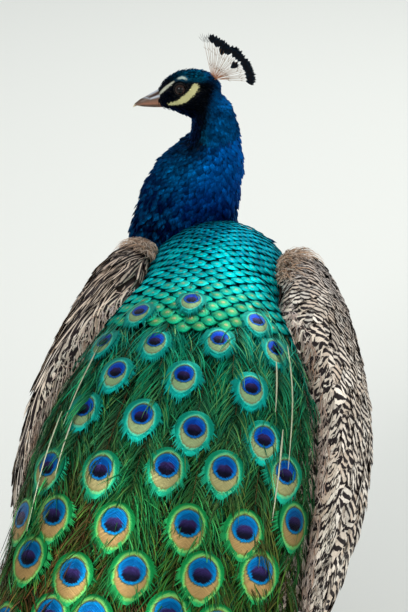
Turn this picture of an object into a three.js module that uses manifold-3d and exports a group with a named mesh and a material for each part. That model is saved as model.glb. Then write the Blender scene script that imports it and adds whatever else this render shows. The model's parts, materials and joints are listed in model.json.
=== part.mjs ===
// A standing Indian peacock, life size, as a museum model: body axis along Y with the head end at +Y,
// the bird's right side at +X and the floor at z = 0. Lengths are in millimetres.
//
// The flesh is lofted whole along its axes and then parted with thin cuts. Everything that lies on
// the flesh is carved back by a slightly grown copy of its neighbour, which leaves a hair gap.
import * as THREE from "three";
import { mergeVertices } from "three/addons/utils/BufferGeometryUtils.js";
import Module from "manifold-3d";

const wasm = await Module();
wasm.setup();

const V = (x, y, z) => new THREE.Vector3(x, y, z);
const rad = THREE.MathUtils.degToRad;

// ---------------------------------------------------------------- driving dimensions
const GAP = 0.4; // between neighbouring pieces
const BACK_TOP = 520; // floor to the highest point of the back
const HEAD = {
  centre: V(-41, 138, 648), // middle of the skull
  yaw: 96, // bill direction, degrees from +Y towards -X
  pitch: -3, // bill below the horizon
  roll: 4, // crown leans away from the rear
};
const BILL = { base: 32, length: 36, width: 15, depth: 15, line: -8.5 };
const EYE = { radius: 8, ahead: 10.8, side: 11.5, up: 10.5 };
const CREST = {
  quills: 9,
  length: 51, // root to the end of the plumes
  spread: 104, // degrees from the first quill to the last
  lean: 46, // the middle quill's angle back from upright
  quill: 0.6, // radius of a quill
  plume: { long: 9, wide: 5.2, thick: 2.2 },
  root: V(0, -28.5, 18),
};
const LEG = {
  hip: V(52, 10, 335),
  ankle: V(56, -40, 160),
  foot: V(60, 12, 14),
  stride: 14, // the left foot is this far ahead of the middle, the right foot behind it
  shank: 6.4,
};
const TOE = { front: [58, 76, 60], splay: [-34, 2, 36], hind: 28, radius: 7, claw: 13 };
const SPUR = { up: 0.4, length: 22, radius: 4.2 };
const FLARE = { left: -8, right: 3 }; // how far each wing stands off the body at its middle
const TIPS = { count: 11, long: 100, wide: 36, high: 7, fan: 52 };

// ---------------------------------------------------------------- solids
/** A closed triangle mesh as a manifold solid facing outwards. */
function solid(geometry) {
  const bare = geometry.index ? geometry.toNonIndexed() : geometry.clone();
  const position = bare.getAttribute("position");
  const merged = mergeVertices(new THREE.BufferGeometry().setAttribute("position", position), 1e-4);
  const corners = merged.index.array;
  const make = () =>
    new wasm.Manifold(
      new wasm.Mesh({
        numProp: 3,
        vertProperties: merged.attributes.position.array,
        triVerts: new Uint32Array(corners),
      }),
    );
  const made = make();
  if (made.volume() > 0) return made;
  for (let i = 0; i < corners.length; i += 3) {
    [corners[i + 1], corners[i + 2]] = [corners[i + 2], corners[i + 1]];
  }
  return make();
}

/** The three.js geometry of a manifold solid. */
function geometryOf(made) {
  const mesh = made.getMesh();
  const points = new Float32Array(mesh.numVert * 3);
  for (let i = 0; i < mesh.numVert; i++) {
    points.set(mesh.vertProperties.subarray(i * mesh.numProp, i * mesh.numProp + 3), i * 3);
  }
  const geometry = new THREE.BufferGeometry();
  geometry.setAttribute("position", new THREE.BufferAttribute(points, 3));
  geometry.setIndex(new THREE.BufferAttribute(new Uint32Array(mesh.triVerts), 1));
  geometry.computeVertexNormals();
  return geometry;
}

/** Skins a list of rings, each a list of points, and closes both ends. */
function skinRings(rings) {
  const around = rings[0].length;
  const points = rings.flat();
  const middle = (ring) => ring.reduce((sum, p) => sum.add(p), V(0, 0, 0)).divideScalar(around);
  points.push(middle(rings[0]), middle(rings[rings.length - 1]));
  const first = points.length - 2;
  const last = points.length - 1;
  const end = (rings.length - 1) * around;
  const faces = [];
  for (let j = 0; j < around; j++) {
    const k = (j + 1) % around;
    for (let i = 0; i < rings.length - 1; i++) {
      const a = i * around;
      const b = a + around;
      faces.push(a + j, b + j, b + k, a + j, b + k, a + k);
    }
    faces.push(first, j, k, last, end + k, end + j);
  }
  const geometry = new THREE.BufferGeometry().setFromPoints(points);
  geometry.setIndex(faces);
  return solid(geometry);
}

/** A smooth curve through a property of the stations. */
function through(stations, pick) {
  return new THREE.CatmullRomCurve3(stations.map(pick), false, "centripetal");
}

/**
 * Lofts an oval tube along stations {at, half, above, below}: half is the half width along the side
 * vector, above and below the half heights along the normal. grow thickens it all round.
 */
function loft(stations, { side = V(1, 0, 0), steps = 16, around = 24, grow = 0 } = {}) {
  const path = through(stations, (s) => s.at);
  const size = through(stations, (s) => V(s.half, s.above ?? s.half, s.below ?? s.above ?? s.half));
  const rings = [];
  for (let i = 0; i <= steps; i++) {
    const t = i / steps;
    const along = path.getTangent(t);
    const across = side.clone().addScaledVector(along, -side.dot(along)).normalize();
    const up = across.clone().cross(along).normalize();
    const centre = path.getPoint(t);
    if (i === 0) centre.addScaledVector(along, -grow);
    if (i === steps) centre.addScaledVector(along, grow);
    const s = size.getPoint(t);
    const ring = [];
    for (let j = 0; j < around; j++) {
      const a = (2 * Math.PI * j) / around;
      const high = (Math.sin(a) > 0 ? s.y : s.z) + grow;
      ring.push(
        centre
          .clone()
          .addScaledVector(across, Math.cos(a) * (s.x + grow))
          .addScaledVector(up, Math.sin(a) * high),
      );
    }
    rings.push(ring);
  }
  return skinRings(rings);
}

const onSide = (sign, stations) => stations.map((s) => ({ ...s, at: V(sign * s.at.x, s.at.y, s.at.z) }));
const join = (pieces) => pieces.reduce((whole, piece) => whole.add(piece));
const carve = (piece, cutters) => cutters.reduce((left, cutter) => left.subtract(cutter), piece);
const aboveFloor = (made) => made.trimByPlane([0, 0, 1], 0);

/** The largest body of a solid, which drops slivers left by a cut. */
function largest(made) {
  return made.decompose().sort((a, b) => b.volume() - a.volume())[0];
}

/** Parts a solid into lengths at planes {at, normal}, in order along the normals. */
function lengths(whole, planes) {
  const parts = [];
  let rest = whole;
  for (const { at, normal } of planes) {
    const n = normal.clone().normalize();
    const offset = n.dot(at);
    parts.push(largest(rest.trimByPlane([-n.x, -n.y, -n.z], -offset + GAP / 2)));
    rest = rest.trimByPlane(n.toArray(), offset + GAP / 2);
  }
  return [...parts, largest(rest)];
}

// ---------------------------------------------------------------- trunk, neck and head
const TRUNK = [
  { at: V(0, -245, BACK_TOP - 132), half: 30, above: 24 },
  { at: V(0, -205, BACK_TOP - 130), half: 62, above: 56, below: 54 },
  { at: V(0, -150, BACK_TOP - 130), half: 84, above: 92, below: 84 },
  { at: V(0, -90, BACK_TOP - 132), half: 96, above: 118, below: 106 },
  { at: V(2, -20, BACK_TOP - 134), half: 102, above: 132, below: 118 },
  { at: V(0, 50, BACK_TOP - 134), half: 102, above: 127, below: 120 },
  { at: V(-7, 120, BACK_TOP - 132), half: 97, above: 113, below: 110 },
  { at: V(-16, 174, BACK_TOP - 128), half: 80, above: 86, below: 88 },
  { at: V(-22, 208, BACK_TOP - 124), half: 52, above: 54, below: 58 },
  { at: V(-24, 226, BACK_TOP - 122), half: 14, above: 14, below: 16 },
];
const NECK = [
  { at: V(-28, 122, 358), half: 36, above: 40, below: 52 },
  { at: V(-36, 130, 390), half: 64, above: 58, below: 78 },
  { at: V(-46, 142, 426), half: 73, above: 62, below: 79 },
  { at: V(-51, 153, 460), half: 69, above: 58, below: 69 },
  { at: V(-47, 162, 500), half: 60, above: 52, below: 58 },
  { at: V(-30, 162, 542), half: 51, above: 46, below: 48 },
  { at: V(-16, 156, 578), half: 34, above: 36 },
  { at: V(-15, 147, 608), half: 25, above: 27 },
  { at: V(-20, 139, 638), half: 22 },
];
const NECK_PARTINGS = [
  { at: V(-34, 162, 530), normal: V(-0.2, 0.1, 1) },
  { at: V(-17, 148, 598), normal: V(0, -0.05, 1) },
];
const SKULL = [
  // along the bill direction, from the nape to the bill's base, in the head's own frame
  { at: V(0, -33, -2), half: 8, above: 8 },
  { at: V(0, -29.5, -1), half: 15, above: 17 },
  { at: V(0, -20, 0), half: 20.5, above: 25.5, below: 25 },
  { at: V(0, -4, 0), half: 22, above: 29.5, below: 27 },
  { at: V(0, 12, -1), half: 19, above: 28.5, below: 21.5 },
  { at: V(0, 24, -4), half: 14, above: 23.5, below: 14 },
  { at: V(0, 34, -6.5), half: 9.5, above: 16, below: 8.5 },
  { at: V(0, 40, -7.5), half: 7, above: 11, below: 6 },
];
const headTurn = new THREE.Matrix4()
  .makeTranslation(HEAD.centre.x, HEAD.centre.y, HEAD.centre.z)
  .multiply(new THREE.Matrix4().makeRotationZ(rad(HEAD.yaw)))
  .multiply(new THREE.Matrix4().makeRotationX(rad(HEAD.pitch)))
  .multiply(new THREE.Matrix4().makeRotationY(rad(HEAD.roll)));
const placedOnHead = (made) => made.transform(headTurn.elements);

/** The upper bill, lofted towards its hooked tip. */
function upperBill(grow = 0) {
  const { base, length, width, depth, line } = BILL;
  const station = (along, drop, half, above) => ({
    at: V(0, base + along * length, line - drop),
    half: half * width,
    above: above * depth,
    below: 0.3,
  });
  const stations = [
    station(0, 0, 0.5, 0.98),
    station(0.3, 0, 0.42, 0.8),
    station(0.55, 0, 0.31, 0.56),
    station(0.8, 1, 0.2, 0.3),
    station(0.95, 2.5, 0.1, 0.16),
    station(1, 4, 0.04, 0.04),
  ];
  return placedOnHead(loft(stations, { steps: 6, around: 10, grow }));
}

/** The lower bill, a little shorter and shallower. */
function lowerBill(grow = 0) {
  const { base, length, width, depth, line } = BILL;
  const station = (along, drop, half, below) => ({
    at: V(0, base + along * length, line - drop),
    half: half * width,
    above: 0.3,
    below: below * depth,
  });
  const stations = [
    station(0, 0.8, 0.42, 0.4),
    station(0.4, 0.8, 0.32, 0.28),
    station(0.75, 1.3, 0.17, 0.14),
    station(0.86, 1.8, 0.04, 0.04),
  ];
  return placedOnHead(loft(stations, { steps: 5, around: 10, grow }));
}

/** An eyeball on one side of the head. */
function eyeball(side, grow = 0) {
  const ball = new THREE.SphereGeometry(EYE.radius + grow, 12, 7);
  ball.rotateZ(Math.PI / 2);
  ball.translate(side * EYE.side, EYE.ahead, EYE.up);
  return placedOnHead(solid(ball));
}

/** The knob of skin the crest quills grow from. */
function crestRoot(grow = 0) {
  const { x, y, z } = CREST.root;
  return placedOnHead(solid(new THREE.SphereGeometry(3.6 + grow, 8, 5).translate(x, y, z)));
}

/** The crest: a fan of bare quills in the head's middle plane, each with a plume at its end. */
function crest() {
  const pieces = [];
  for (let i = 0; i < CREST.quills; i++) {
    const share = i / (CREST.quills - 1) - 0.5;
    const back = rad(CREST.lean + share * CREST.spread);
    const sway = rad(i % 2 ? 5 : -5);
    const place = new THREE.Matrix4()
      .makeTranslation(CREST.root.x, CREST.root.y, CREST.root.z)
      .multiply(new THREE.Matrix4().makeRotationX(back))
      .multiply(new THREE.Matrix4().makeRotationY(sway));
    const shaft = CREST.length - CREST.plume.long;
    const quill = new THREE.CylinderGeometry(CREST.quill, CREST.quill * 1.3, shaft, 4);
    quill.rotateX(Math.PI / 2).translate(0, 0, shaft / 2);
    const plume = new THREE.SphereGeometry(1, 6, 4);
    plume.rotateX(Math.PI / 2).scale(CREST.plume.thick, CREST.plume.wide, CREST.plume.long);
    plume.translate(0, 0, shaft);
    pieces.push(solid(quill.applyMatrix4(place)), solid(plume.applyMatrix4(place)));
  }
  return join([...pieces.map(placedOnHead), crestRoot()]);
}

const BODY = { steps: 13, around: 22 };
const NECK_LOFT = { steps: 10, around: 20 };
const trunkGrown = loft(TRUNK, { ...BODY, grow: GAP });
const neckGrown = loft(NECK, { ...NECK_LOFT, grow: GAP });
const skull = placedOnHead(loft(SKULL, { steps: 9, around: 16 }));
const flesh = join([loft(NECK, NECK_LOFT), skull]).subtract(trunkGrown);
const [lowerNeck, upperNeck, headFlesh] = lengths(flesh, NECK_PARTINGS);
const headCutters = [eyeball(-1, GAP), eyeball(1, GAP), upperBill(GAP), lowerBill(GAP), crestRoot(GAP)];

// ---------------------------------------------------------------- train and tail
const TRAIN = [
  // top line of the train: half width, arch height and thickness at each station
  { at: V(2, -30, BACK_TOP - 6), half: 70, arch: 26, thick: 14 },
  { at: V(2, -110, BACK_TOP - 10), half: 106, arch: 56, thick: 38 },
  { at: V(0, -190, BACK_TOP - 38), half: 130, arch: 78, thick: 50 },
  { at: V(-9, -270, BACK_TOP - 94), half: 147, arch: 90, thick: 52 },
  { at: V(-19, -345, BACK_TOP - 174), half: 153, arch: 92, thick: 48 },
  { at: V(-30, -420, BACK_TOP - 264), half: 160, arch: 84, thick: 42 },
  { at: V(-42, -505, BACK_TOP - 360), half: 164, arch: 74, thick: 38 },
  { at: V(-48, -610, BACK_TOP - 438), half: 178, arch: 66, thick: 42 },
  { at: V(-48, -740, BACK_TOP - 470), half: 200, arch: 54, thick: 54 },
  { at: V(-50, -900, BACK_TOP - 482), half: 212, arch: 42, thick: 42 },
  { at: V(-50, -1060, BACK_TOP - 490), half: 200, arch: 34, thick: 34 },
  { at: V(-48, -1200, BACK_TOP - 498), half: 164, arch: 26, thick: 26 },
  { at: V(-46, -1290, BACK_TOP - 506), half: 120, arch: 18, thick: 18 },
];
const TRAIN_PARTINGS = [
  { at: V(0, -270, 380), normal: V(0, -0.8, -0.6) },
  { at: V(0, -505, 120), normal: V(0, -0.8, -0.6) },
  { at: V(0, -860, 0), normal: V(0, -1, 0) },
];
const TAIL = [
  { at: V(0, -246, 368), half: 30, above: 7 },
  { at: V(-4, -330, 278), half: 58, above: 5 },
  { at: V(-14, -420, 166), half: 84, above: 4 },
  { at: V(-22, -500, 78), half: 96, above: 3 },
  { at: V(-26, -530, 50), half: 84, above: 2.5 },
];
const VENT = [
  { at: V(0, -150, 322), half: 40, above: 26 },
  { at: V(0, -215, 312), half: 44, above: 26 },
  { at: V(0, -275, 276), half: 34, above: 18 },
  { at: V(0, -325, 228), half: 12, above: 7 },
];

/** A point on the arch of a train ring at an angle from its crown. */
function arcPoint(rim, up, half, rise, a) {
  return V(rim.x + half * Math.sin(a), rim.y, rim.z).addScaledVector(up, rise * Math.cos(a));
}

/** The train as crescent rings; filled closes the hollow side, for cutting what lies below it. */
function train({ steps = 22, half = 9, grow = 0, filled = false } = {}) {
  const path = through(TRAIN, (s) => s.at);
  const size = through(TRAIN, (s) => V(s.half, s.arch, s.thick));
  const rings = [];
  for (let i = 0; i <= steps; i++) {
    const t = i / steps;
    const along = path.getTangent(t);
    const up = along.clone().cross(V(1, 0, 0)).normalize();
    const s = size.getPoint(t);
    const rim = path.getPoint(t).addScaledVector(up, -s.y);
    if (i === 0) rim.addScaledVector(along, -grow);
    if (i === steps) rim.addScaledVector(along, grow);
    const under = filled ? 0 : Math.max(s.y - s.z, 0);
    const ring = [];
    for (let j = 0; j <= half; j++) {
      ring.push(arcPoint(rim, up, s.x + grow, s.y + grow, Math.PI * (0.5 - j / half)));
    }
    const hem = rim.clone().addScaledVector(up, -1.5 - grow);
    for (let j = 0; j <= half; j++) {
      ring.push(arcPoint(hem, up, s.x + grow, under, Math.PI * (j / half - 0.5)));
    }
    rings.push(ring);
  }
  return aboveFloor(skinRings(rings));
}

/** The feather tips that end the train, a flat scalloped fan lying on the floor. */
function trainTips() {
  const last = TRAIN[TRAIN.length - 1];
  const pieces = [];
  for (let i = 0; i < TIPS.count; i++) {
    const share = (2 * i) / (TIPS.count - 1) - 1;
    const turn = rad(share * TIPS.fan);
    const tip = new THREE.CylinderGeometry(1, 1, TIPS.high, 10);
    tip.rotateX(Math.PI / 2).scale(TIPS.wide / 2, TIPS.long / 2, 1).rotateZ(turn);
    const out = last.half * Math.sin(turn);
    tip.translate(last.at.x + out, last.at.y + 30 - 58 * Math.cos(turn), TIPS.high / 2);
    pieces.push(solid(tip));
  }
  const plane = [0, -1, 0];
  return largest(join(pieces).trimByPlane(plane, -(last.at.y - GAP)));
}

const trainFilled = train({ grow: GAP, filled: true });
const trainParts = lengths(train().subtract(trunkGrown), TRAIN_PARTINGS);

// ---------------------------------------------------------------- wings
const WING = [
  // flare: how much of the wing's flare moves the station outwards
  { at: V(84, 122, 436), half: 16, above: 12, flare: 0 },
  { at: V(96, 104, 432), half: 44, above: 28, below: 40, flare: 0 },
  { at: V(110, 56, 420), half: 74, above: 38, below: 60, flare: 0 },
  { at: V(126, -20, 400), half: 92, above: 43, below: 70, flare: 0.6 },
  { at: V(140, -110, 376), half: 97, above: 44, below: 68, flare: 1 },
  { at: V(146, -200, 344), half: 88, above: 34, below: 50, flare: 0.8 },
  { at: V(137, -290, 308), half: 66, above: 23, below: 26, flare: 0.3 },
  { at: V(123, -360, 278), half: 40, above: 12, below: 9, flare: 0 },
  { at: V(112, -405, 258), half: 12, above: 4, below: 3, flare: 0 },
];
const PRIMARIES = [
  { at: V(150, -120, 306), half: 28, above: 8 },
  { at: V(158, -220, 278), half: 32, above: 8 },
  { at: V(144, -320, 256), half: 26, above: 6 },
  { at: V(118, -412, 240), half: 10, above: 3 },
];

/** One folded wing; sign is +1 for the right wing and -1 for the left. */
function wing(sign, grow = 0) {
  const flare = sign > 0 ? FLARE.right : FLARE.left;
  const flared = WING.map((s) => ({ ...s, at: V(s.at.x + flare * s.flare, s.at.y, s.at.z) }));
  return loft(onSide(sign, flared), { side: V(-0.26, 0, sign * 0.96), steps: 11, around: 14, grow });
}

/** The folded primaries showing below the hind edge of one wing. */
function primaries(sign) {
  const made = loft(onSide(sign, PRIMARIES), { side: V(-0.2, 0, sign * 0.97), steps: 6, around: 8 });
  return largest(carve(made, [wing(sign, GAP), trunkGrown, trainFilled]));
}

// ---------------------------------------------------------------- legs
/** The ankle and the foot of one leg, moved by the stride. */
function legPoints(sign) {
  const move = V(0, -sign * LEG.stride, 0);
  const place = (p, share) => V(sign * p.x, p.y, p.z).addScaledVector(move, share);
  return { hip: place(LEG.hip, 0), ankle: place(LEG.ankle, 0.6), foot: place(LEG.foot, 1) };
}

/** The feathered drumstick from the belly to above the ankle. */
function thigh(sign) {
  const { hip, ankle } = legPoints(sign);
  const at = (share) => hip.clone().lerp(ankle, share);
  const stations = [
    { at: at(0), half: 34, above: 50 },
    { at: at(0.3), half: 32, above: 44 },
    { at: at(0.6), half: 22, above: 28 },
    { at: at(0.85), half: 12, above: 15 },
    { at: at(0.96), half: 8, above: 9 },
  ];
  return largest(loft(stations, { steps: 6, around: 12 }).subtract(trunkGrown));
}

/** The scaly shank from the ankle to the foot. */
function shank(sign) {
  const { hip, ankle, foot } = legPoints(sign);
  const r = LEG.shank;
  const stations = [
    { at: hip.clone().lerp(ankle, 0.975), half: r, above: r + 1 },
    { at: ankle, half: r + 1.5, above: r + 4 },
    { at: ankle.clone().lerp(foot, 0.12), half: r + 0.5, above: r + 2 },
    { at: ankle.clone().lerp(foot, 0.5), half: r - 0.6, above: r + 0.4 },
    { at: ankle.clone().lerp(foot, 0.88), half: r, above: r + 1 },
    { at: foot, half: r + 1, above: r + 2 },
  ];
  return loft(stations, { steps: 7, around: 10 }).subtract(footSolid(sign, GAP)).subtract(spur(sign, GAP));
}

/** The horny spur on the inner back of the shank. */
function spur(sign, grow = 0) {
  const { ankle, foot } = legPoints(sign);
  const root = foot.clone().lerp(ankle, SPUR.up).add(V(-sign * 2, -3, 0));
  const tip = root.clone().add(V(-sign * 0.45, -1, 0.12).setLength(SPUR.length));
  const bend = root.clone().lerp(tip, 0.55).add(V(0, 0, -1));
  const stations = [
    { at: root, half: SPUR.radius },
    { at: bend, half: SPUR.radius * 0.55 },
    { at: tip, half: 0.5 },
  ];
  return loft(stations, { steps: 4, around: 7, grow });
}

/** The direction and length of each toe of one foot, the hind toe last. */
function toes(sign) {
  const { front, splay, hind, radius } = TOE;
  const fronts = front.map((length, i) => ({ length, turn: rad(-sign * splay[i]), radius }));
  return [...fronts, { length: hind, turn: Math.PI + rad(sign * 14), radius: radius * 0.72 }];
}

/** A point a given way out along a toe, at a height. */
function alongToe(sign, toe, out, height) {
  const { foot } = legPoints(sign);
  return V(foot.x - Math.sin(toe.turn) * out, foot.y + Math.cos(toe.turn) * out, height);
}

/** The foot with its toes in one piece, flat below. */
function footSolid(sign, grow = 0) {
  const { foot } = legPoints(sign);
  const pieces = toes(sign).map((toe) => {
    const station = (share, size) => ({
      at: alongToe(sign, toe, share * toe.length, size * toe.radius * 0.8),
      half: size * toe.radius,
    });
    const stations = [
      station(0, 1.15),
      station(0.3, 0.92),
      station(0.62, 0.86),
      station(0.9, 0.74),
      station(1, 0.5),
    ];
    const side = V(Math.cos(toe.turn), Math.sin(toe.turn), 0);
    return loft(stations, { side, steps: 4, around: 7, grow });
  });
  const hub = new THREE.SphereGeometry(TOE.radius * 1.6 + grow, 8, 5).translate(foot.x, foot.y, TOE.radius);
  return aboveFloor(join([...pieces, solid(hub)]));
}

/** The claw at the end of one toe, curved down to the floor. */
function claw(sign, toe) {
  const r = toe.radius;
  const station = (out, height, half) => ({ at: alongToe(sign, toe, toe.length + out, height), half });
  const stations = [
    station(-2, 0.55 * r, 0.42 * r),
    station(0.4 * TOE.claw, 0.55 * r, 0.34 * r),
    station(0.8 * TOE.claw, 0.34 * r, 0.18 * r),
    station(TOE.claw, 0.14 * r, 0.08 * r),
  ];
  const made = loft(stations, { side: V(Math.cos(toe.turn), Math.sin(toe.turn), 0), steps: 3, around: 5 });
  return largest(aboveFloor(made).subtract(footSolid(sign, GAP)));
}

// ---------------------------------------------------------------- the model
const group = new THREE.Group();
const COLOUR = {
  navy: 0x0b3f8a,
  teal: 0x0a6a6a,
  green: 0x1a7a4a,
  barred: 0x9a8a74,
  chestnut: 0x8a5a34,
  down: 0x4a4038,
  horn: 0x8a7a6a,
  scale: 0x7a7468,
  eye: 0x1a0f0a,
};

/** Adds one named node in a colour. */
function add(name, made, colour, roughness = 0.7) {
  const material = new THREE.MeshStandardMaterial({ color: colour, roughness, metalness: 0 });
  const mesh = new THREE.Mesh(geometryOf(made), material);
  mesh.name = name;
  group.add(mesh);
}

add("head", largest(carve(headFlesh, headCutters)), COLOUR.navy);
add("bill_upper", upperBill(), COLOUR.horn, 0.45);
add("bill_lower", largest(lowerBill().subtract(upperBill(GAP))), COLOUR.horn, 0.45);
add("crest", crest(), COLOUR.navy);
add("neck_upper", upperNeck, COLOUR.navy);
add("neck_lower", lowerNeck, COLOUR.navy);
add("trunk", loft(TRUNK, BODY), COLOUR.teal);
const tail = loft(TAIL, { steps: 6, around: 10 });
add("tail", largest(carve(tail, [trunkGrown, train({ grow: GAP })])), COLOUR.down);
add("vent", largest(loft(VENT, { steps: 6, around: 12 }).subtract(trunkGrown)), COLOUR.down);
["train_rump", "train_fall", "train_sweep", "train_end"].forEach((name, i) => {
  add(name, trainParts[i], COLOUR.green);
});
add("train_tips", trainTips(), COLOUR.green);
for (const [name, sign] of Object.entries({ left: -1, right: 1 })) {
  add(`eye_${name}`, eyeball(sign), COLOUR.eye, 0.1);
  add(`wing_${name}`, largest(carve(wing(sign), [trunkGrown, neckGrown, trainFilled])), COLOUR.barred);
  add(`primaries_${name}`, primaries(sign), COLOUR.chestnut);
  add(`thigh_${name}`, thigh(sign), COLOUR.down);
  add(`shank_${name}`, shank(sign), COLOUR.scale);
  add(`spur_${name}`, spur(sign), COLOUR.horn, 0.45);
  add(`foot_${name}`, footSolid(sign), COLOUR.scale);
  toes(sign).forEach((toe, i) => {
    add(`claw_${name}_${["inner", "middle", "outer", "hind"][i]}`, claw(sign, toe), COLOUR.horn, 0.45);
  });
}

// The origin goes to the middle of the model's footprint.
const box = new THREE.Box3().setFromObject(group);
const middle = box.getCenter(new THREE.Vector3());
group.children.forEach((mesh) => mesh.geometry.translate(-middle.x, -middle.y, -box.min.z));

export default group;
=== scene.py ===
"""An Indian peacock, life size, seen over its back: plumage, train, wings, bare face, bill, eyes and legs.

The frame's flesh becomes one skin that lies a coat's depth inside it. Every feather is a curved sheet
of its own, rooted on that skin or on a smooth patch laid over the frame's solids. Fields hold sizes in
millimetres in the bird's own axes: body along Y with the head end at +Y, the bird's right at +X, floor
at z = 0 and the origin between the shanks. The meshes are in metres.
"""

import json
import logging
import math
from collections.abc import Callable, Sequence
from dataclasses import dataclass, field
from enum import Enum

import bmesh
import bpy
import numpy as np
from mathutils import Matrix, Vector
from mathutils.bvhtree import BVHTree

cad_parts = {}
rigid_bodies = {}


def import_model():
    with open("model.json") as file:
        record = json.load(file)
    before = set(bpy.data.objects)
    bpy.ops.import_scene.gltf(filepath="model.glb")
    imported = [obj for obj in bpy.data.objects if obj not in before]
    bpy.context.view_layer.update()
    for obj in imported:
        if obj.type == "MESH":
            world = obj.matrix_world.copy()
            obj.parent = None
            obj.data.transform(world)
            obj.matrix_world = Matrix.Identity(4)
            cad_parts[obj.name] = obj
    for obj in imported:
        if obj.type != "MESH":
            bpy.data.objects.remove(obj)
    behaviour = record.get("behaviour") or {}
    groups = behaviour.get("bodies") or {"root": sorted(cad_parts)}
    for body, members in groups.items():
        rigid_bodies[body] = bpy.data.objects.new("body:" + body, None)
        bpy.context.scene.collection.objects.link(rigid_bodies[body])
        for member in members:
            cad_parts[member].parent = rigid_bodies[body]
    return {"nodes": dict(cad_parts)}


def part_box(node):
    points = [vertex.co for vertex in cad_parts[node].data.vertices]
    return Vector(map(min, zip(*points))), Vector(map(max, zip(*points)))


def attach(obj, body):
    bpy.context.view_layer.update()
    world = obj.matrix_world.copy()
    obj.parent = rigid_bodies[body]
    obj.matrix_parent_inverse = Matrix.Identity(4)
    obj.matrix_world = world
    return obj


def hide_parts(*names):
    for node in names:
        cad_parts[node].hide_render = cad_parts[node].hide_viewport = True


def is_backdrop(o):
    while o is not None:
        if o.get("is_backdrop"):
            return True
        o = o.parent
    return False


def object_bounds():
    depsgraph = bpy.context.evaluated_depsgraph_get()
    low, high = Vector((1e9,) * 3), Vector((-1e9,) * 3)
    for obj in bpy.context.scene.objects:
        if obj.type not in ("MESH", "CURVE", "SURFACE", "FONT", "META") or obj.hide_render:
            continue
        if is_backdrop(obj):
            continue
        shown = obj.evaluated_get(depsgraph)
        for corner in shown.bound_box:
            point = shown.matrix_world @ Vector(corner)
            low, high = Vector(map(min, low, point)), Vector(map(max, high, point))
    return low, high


log = logging.getLogger("peacock")

Array = np.ndarray
MM = 0.001
BACK_TOP = 520.0  # floor to the highest point of the back
SIDES = {"left": -1, "right": 1}
MAP_SPAN = (0.02, 0.98)  # the used part of a bake map
FLOOR_GAP = 0.0012  # metres that the train keeps over the floor


# ---------------------------------------------------------------- colour
def linear(red: float, green: float, blue: float) -> tuple[float, float, float]:
    """Turn a display colour into scene-linear numbers.

    Args:
        red: Red from 0 to 255.
        green: Green from 0 to 255.
        blue: Blue from 0 to 255.

    Returns:
        The three linear shares.
    """
    shares = (c / 255 for c in (red, green, blue))
    return tuple(c / 12.92 if c <= 0.04045 else ((c + 0.055) / 1.055) ** 2.4 for c in shares)


def tint(red: float, green: float, blue: float) -> Array:
    """A display colour as an array of three linear numbers."""
    return np.array(linear(red, green, blue))


def full_tint(red: float, green: float, blue: float) -> tuple[float, float, float, float]:
    """A display colour as a socket takes it, with nothing see-through."""
    return (*linear(red, green, blue), 1.0)


def opaque(tone: Array) -> Array:
    """Colours (.., 3) with a last column of ones."""
    return np.concatenate([tone, np.ones((*tone.shape[:-1], 1))], -1)


def packed(*parts: object) -> Array:
    """Three parts of any matching shapes side by side in a last axis."""
    return np.stack(np.broadcast_arrays(*parts), -1)


def sheet_map(rows: int, cols: int) -> Array:
    """The bake map of a piece's one sheet: nearly the whole map, rows up and columns across."""
    s, t = np.meshgrid(np.linspace(*MAP_SPAN, rows), np.linspace(*MAP_SPAN, cols), indexing="ij")
    return np.stack([t, s], -1)[None]


def summed(steps: Array) -> Array:
    """Running sums along each row, from nothing at its start."""
    return np.concatenate([np.zeros((len(steps), 1)), np.cumsum(steps, 1)], 1)


def scattered(count: int) -> Array:
    """A row of numbers from 0 to 1 that jump about but are the same each time."""
    stretch, spread = 12.9898, 43758.5453
    noise = np.sin(np.arange(count) * stretch) * spread
    return noise - np.floor(noise)


class Tone(Enum):
    """The named colours of the bird, as display values."""

    INK = (4, 6, 11)
    NAVY = (2, 18, 50)
    COBALT = (0, 70, 138)
    ROYAL = (0, 32, 86)
    PETROL = (0, 90, 122)
    LAPIS = (0, 74, 116)
    AQUA = (10, 186, 176)
    LEAF = (38, 160, 90)
    GOLD = (96, 152, 76)
    BRONZE = (104, 72, 42)
    COPPER = (176, 128, 110)
    SAND = (138, 168, 122)
    CREAM = (238, 230, 216)
    BUFF = (158, 138, 118)
    UMBER = (62, 50, 44)
    SOOT = (40, 33, 34)
    CHESTNUT = (150, 84, 44)
    PLUM = (46, 36, 84)
    ULTRAMARINE = (8, 60, 178)
    AZURE = (2, 116, 174)
    HORN = (104, 82, 70)
    # pale horn for the bill's seam and the claw tips, and a painted highlight along the bill's ridge
    HORN_PALE_AND_HIGHLIGHT = (186, 196, 206)
    HORN_TIP = (222, 208, 176)
    GAPE = (158, 108, 84)
    SCUTE = (128, 118, 104)
    SCUTE_DARK = (70, 62, 54)
    IRIS = (34, 18, 13)

    @property
    def rgb(self) -> Array:
        """The colour as linear numbers."""
        return tint(*self.value)

    @property
    def rgba(self) -> tuple[float, float, float, float]:
        """The colour as a socket takes it."""
        return (*self.rgb.tolist(), 1.0)


# ---------------------------------------------------------------- numbers
def unit(vectors: Array) -> Array:
    """Scale vectors along the last axis to length 1."""
    return vectors / np.maximum(np.linalg.norm(vectors, axis=-1, keepdims=True), 1e-12)


def ease(low: float, high: float, x: Array) -> Array:
    """Rise smoothly from 0 at low to 1 at high."""
    t = np.clip((x - low) / (high - low), 0, 1)
    return t * t * (3 - 2 * t)


def blend(a: Array, b: Array, share: Array) -> Array:
    """Mix a into b by a share that gains a last axis."""
    return a + (b - a) * np.asarray(share)[..., None]


def turned(axis: str, degrees: float) -> Array:
    """The matrix of a turn about one axis."""
    return np.array(Matrix.Rotation(math.radians(degrees), 3, axis))


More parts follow.
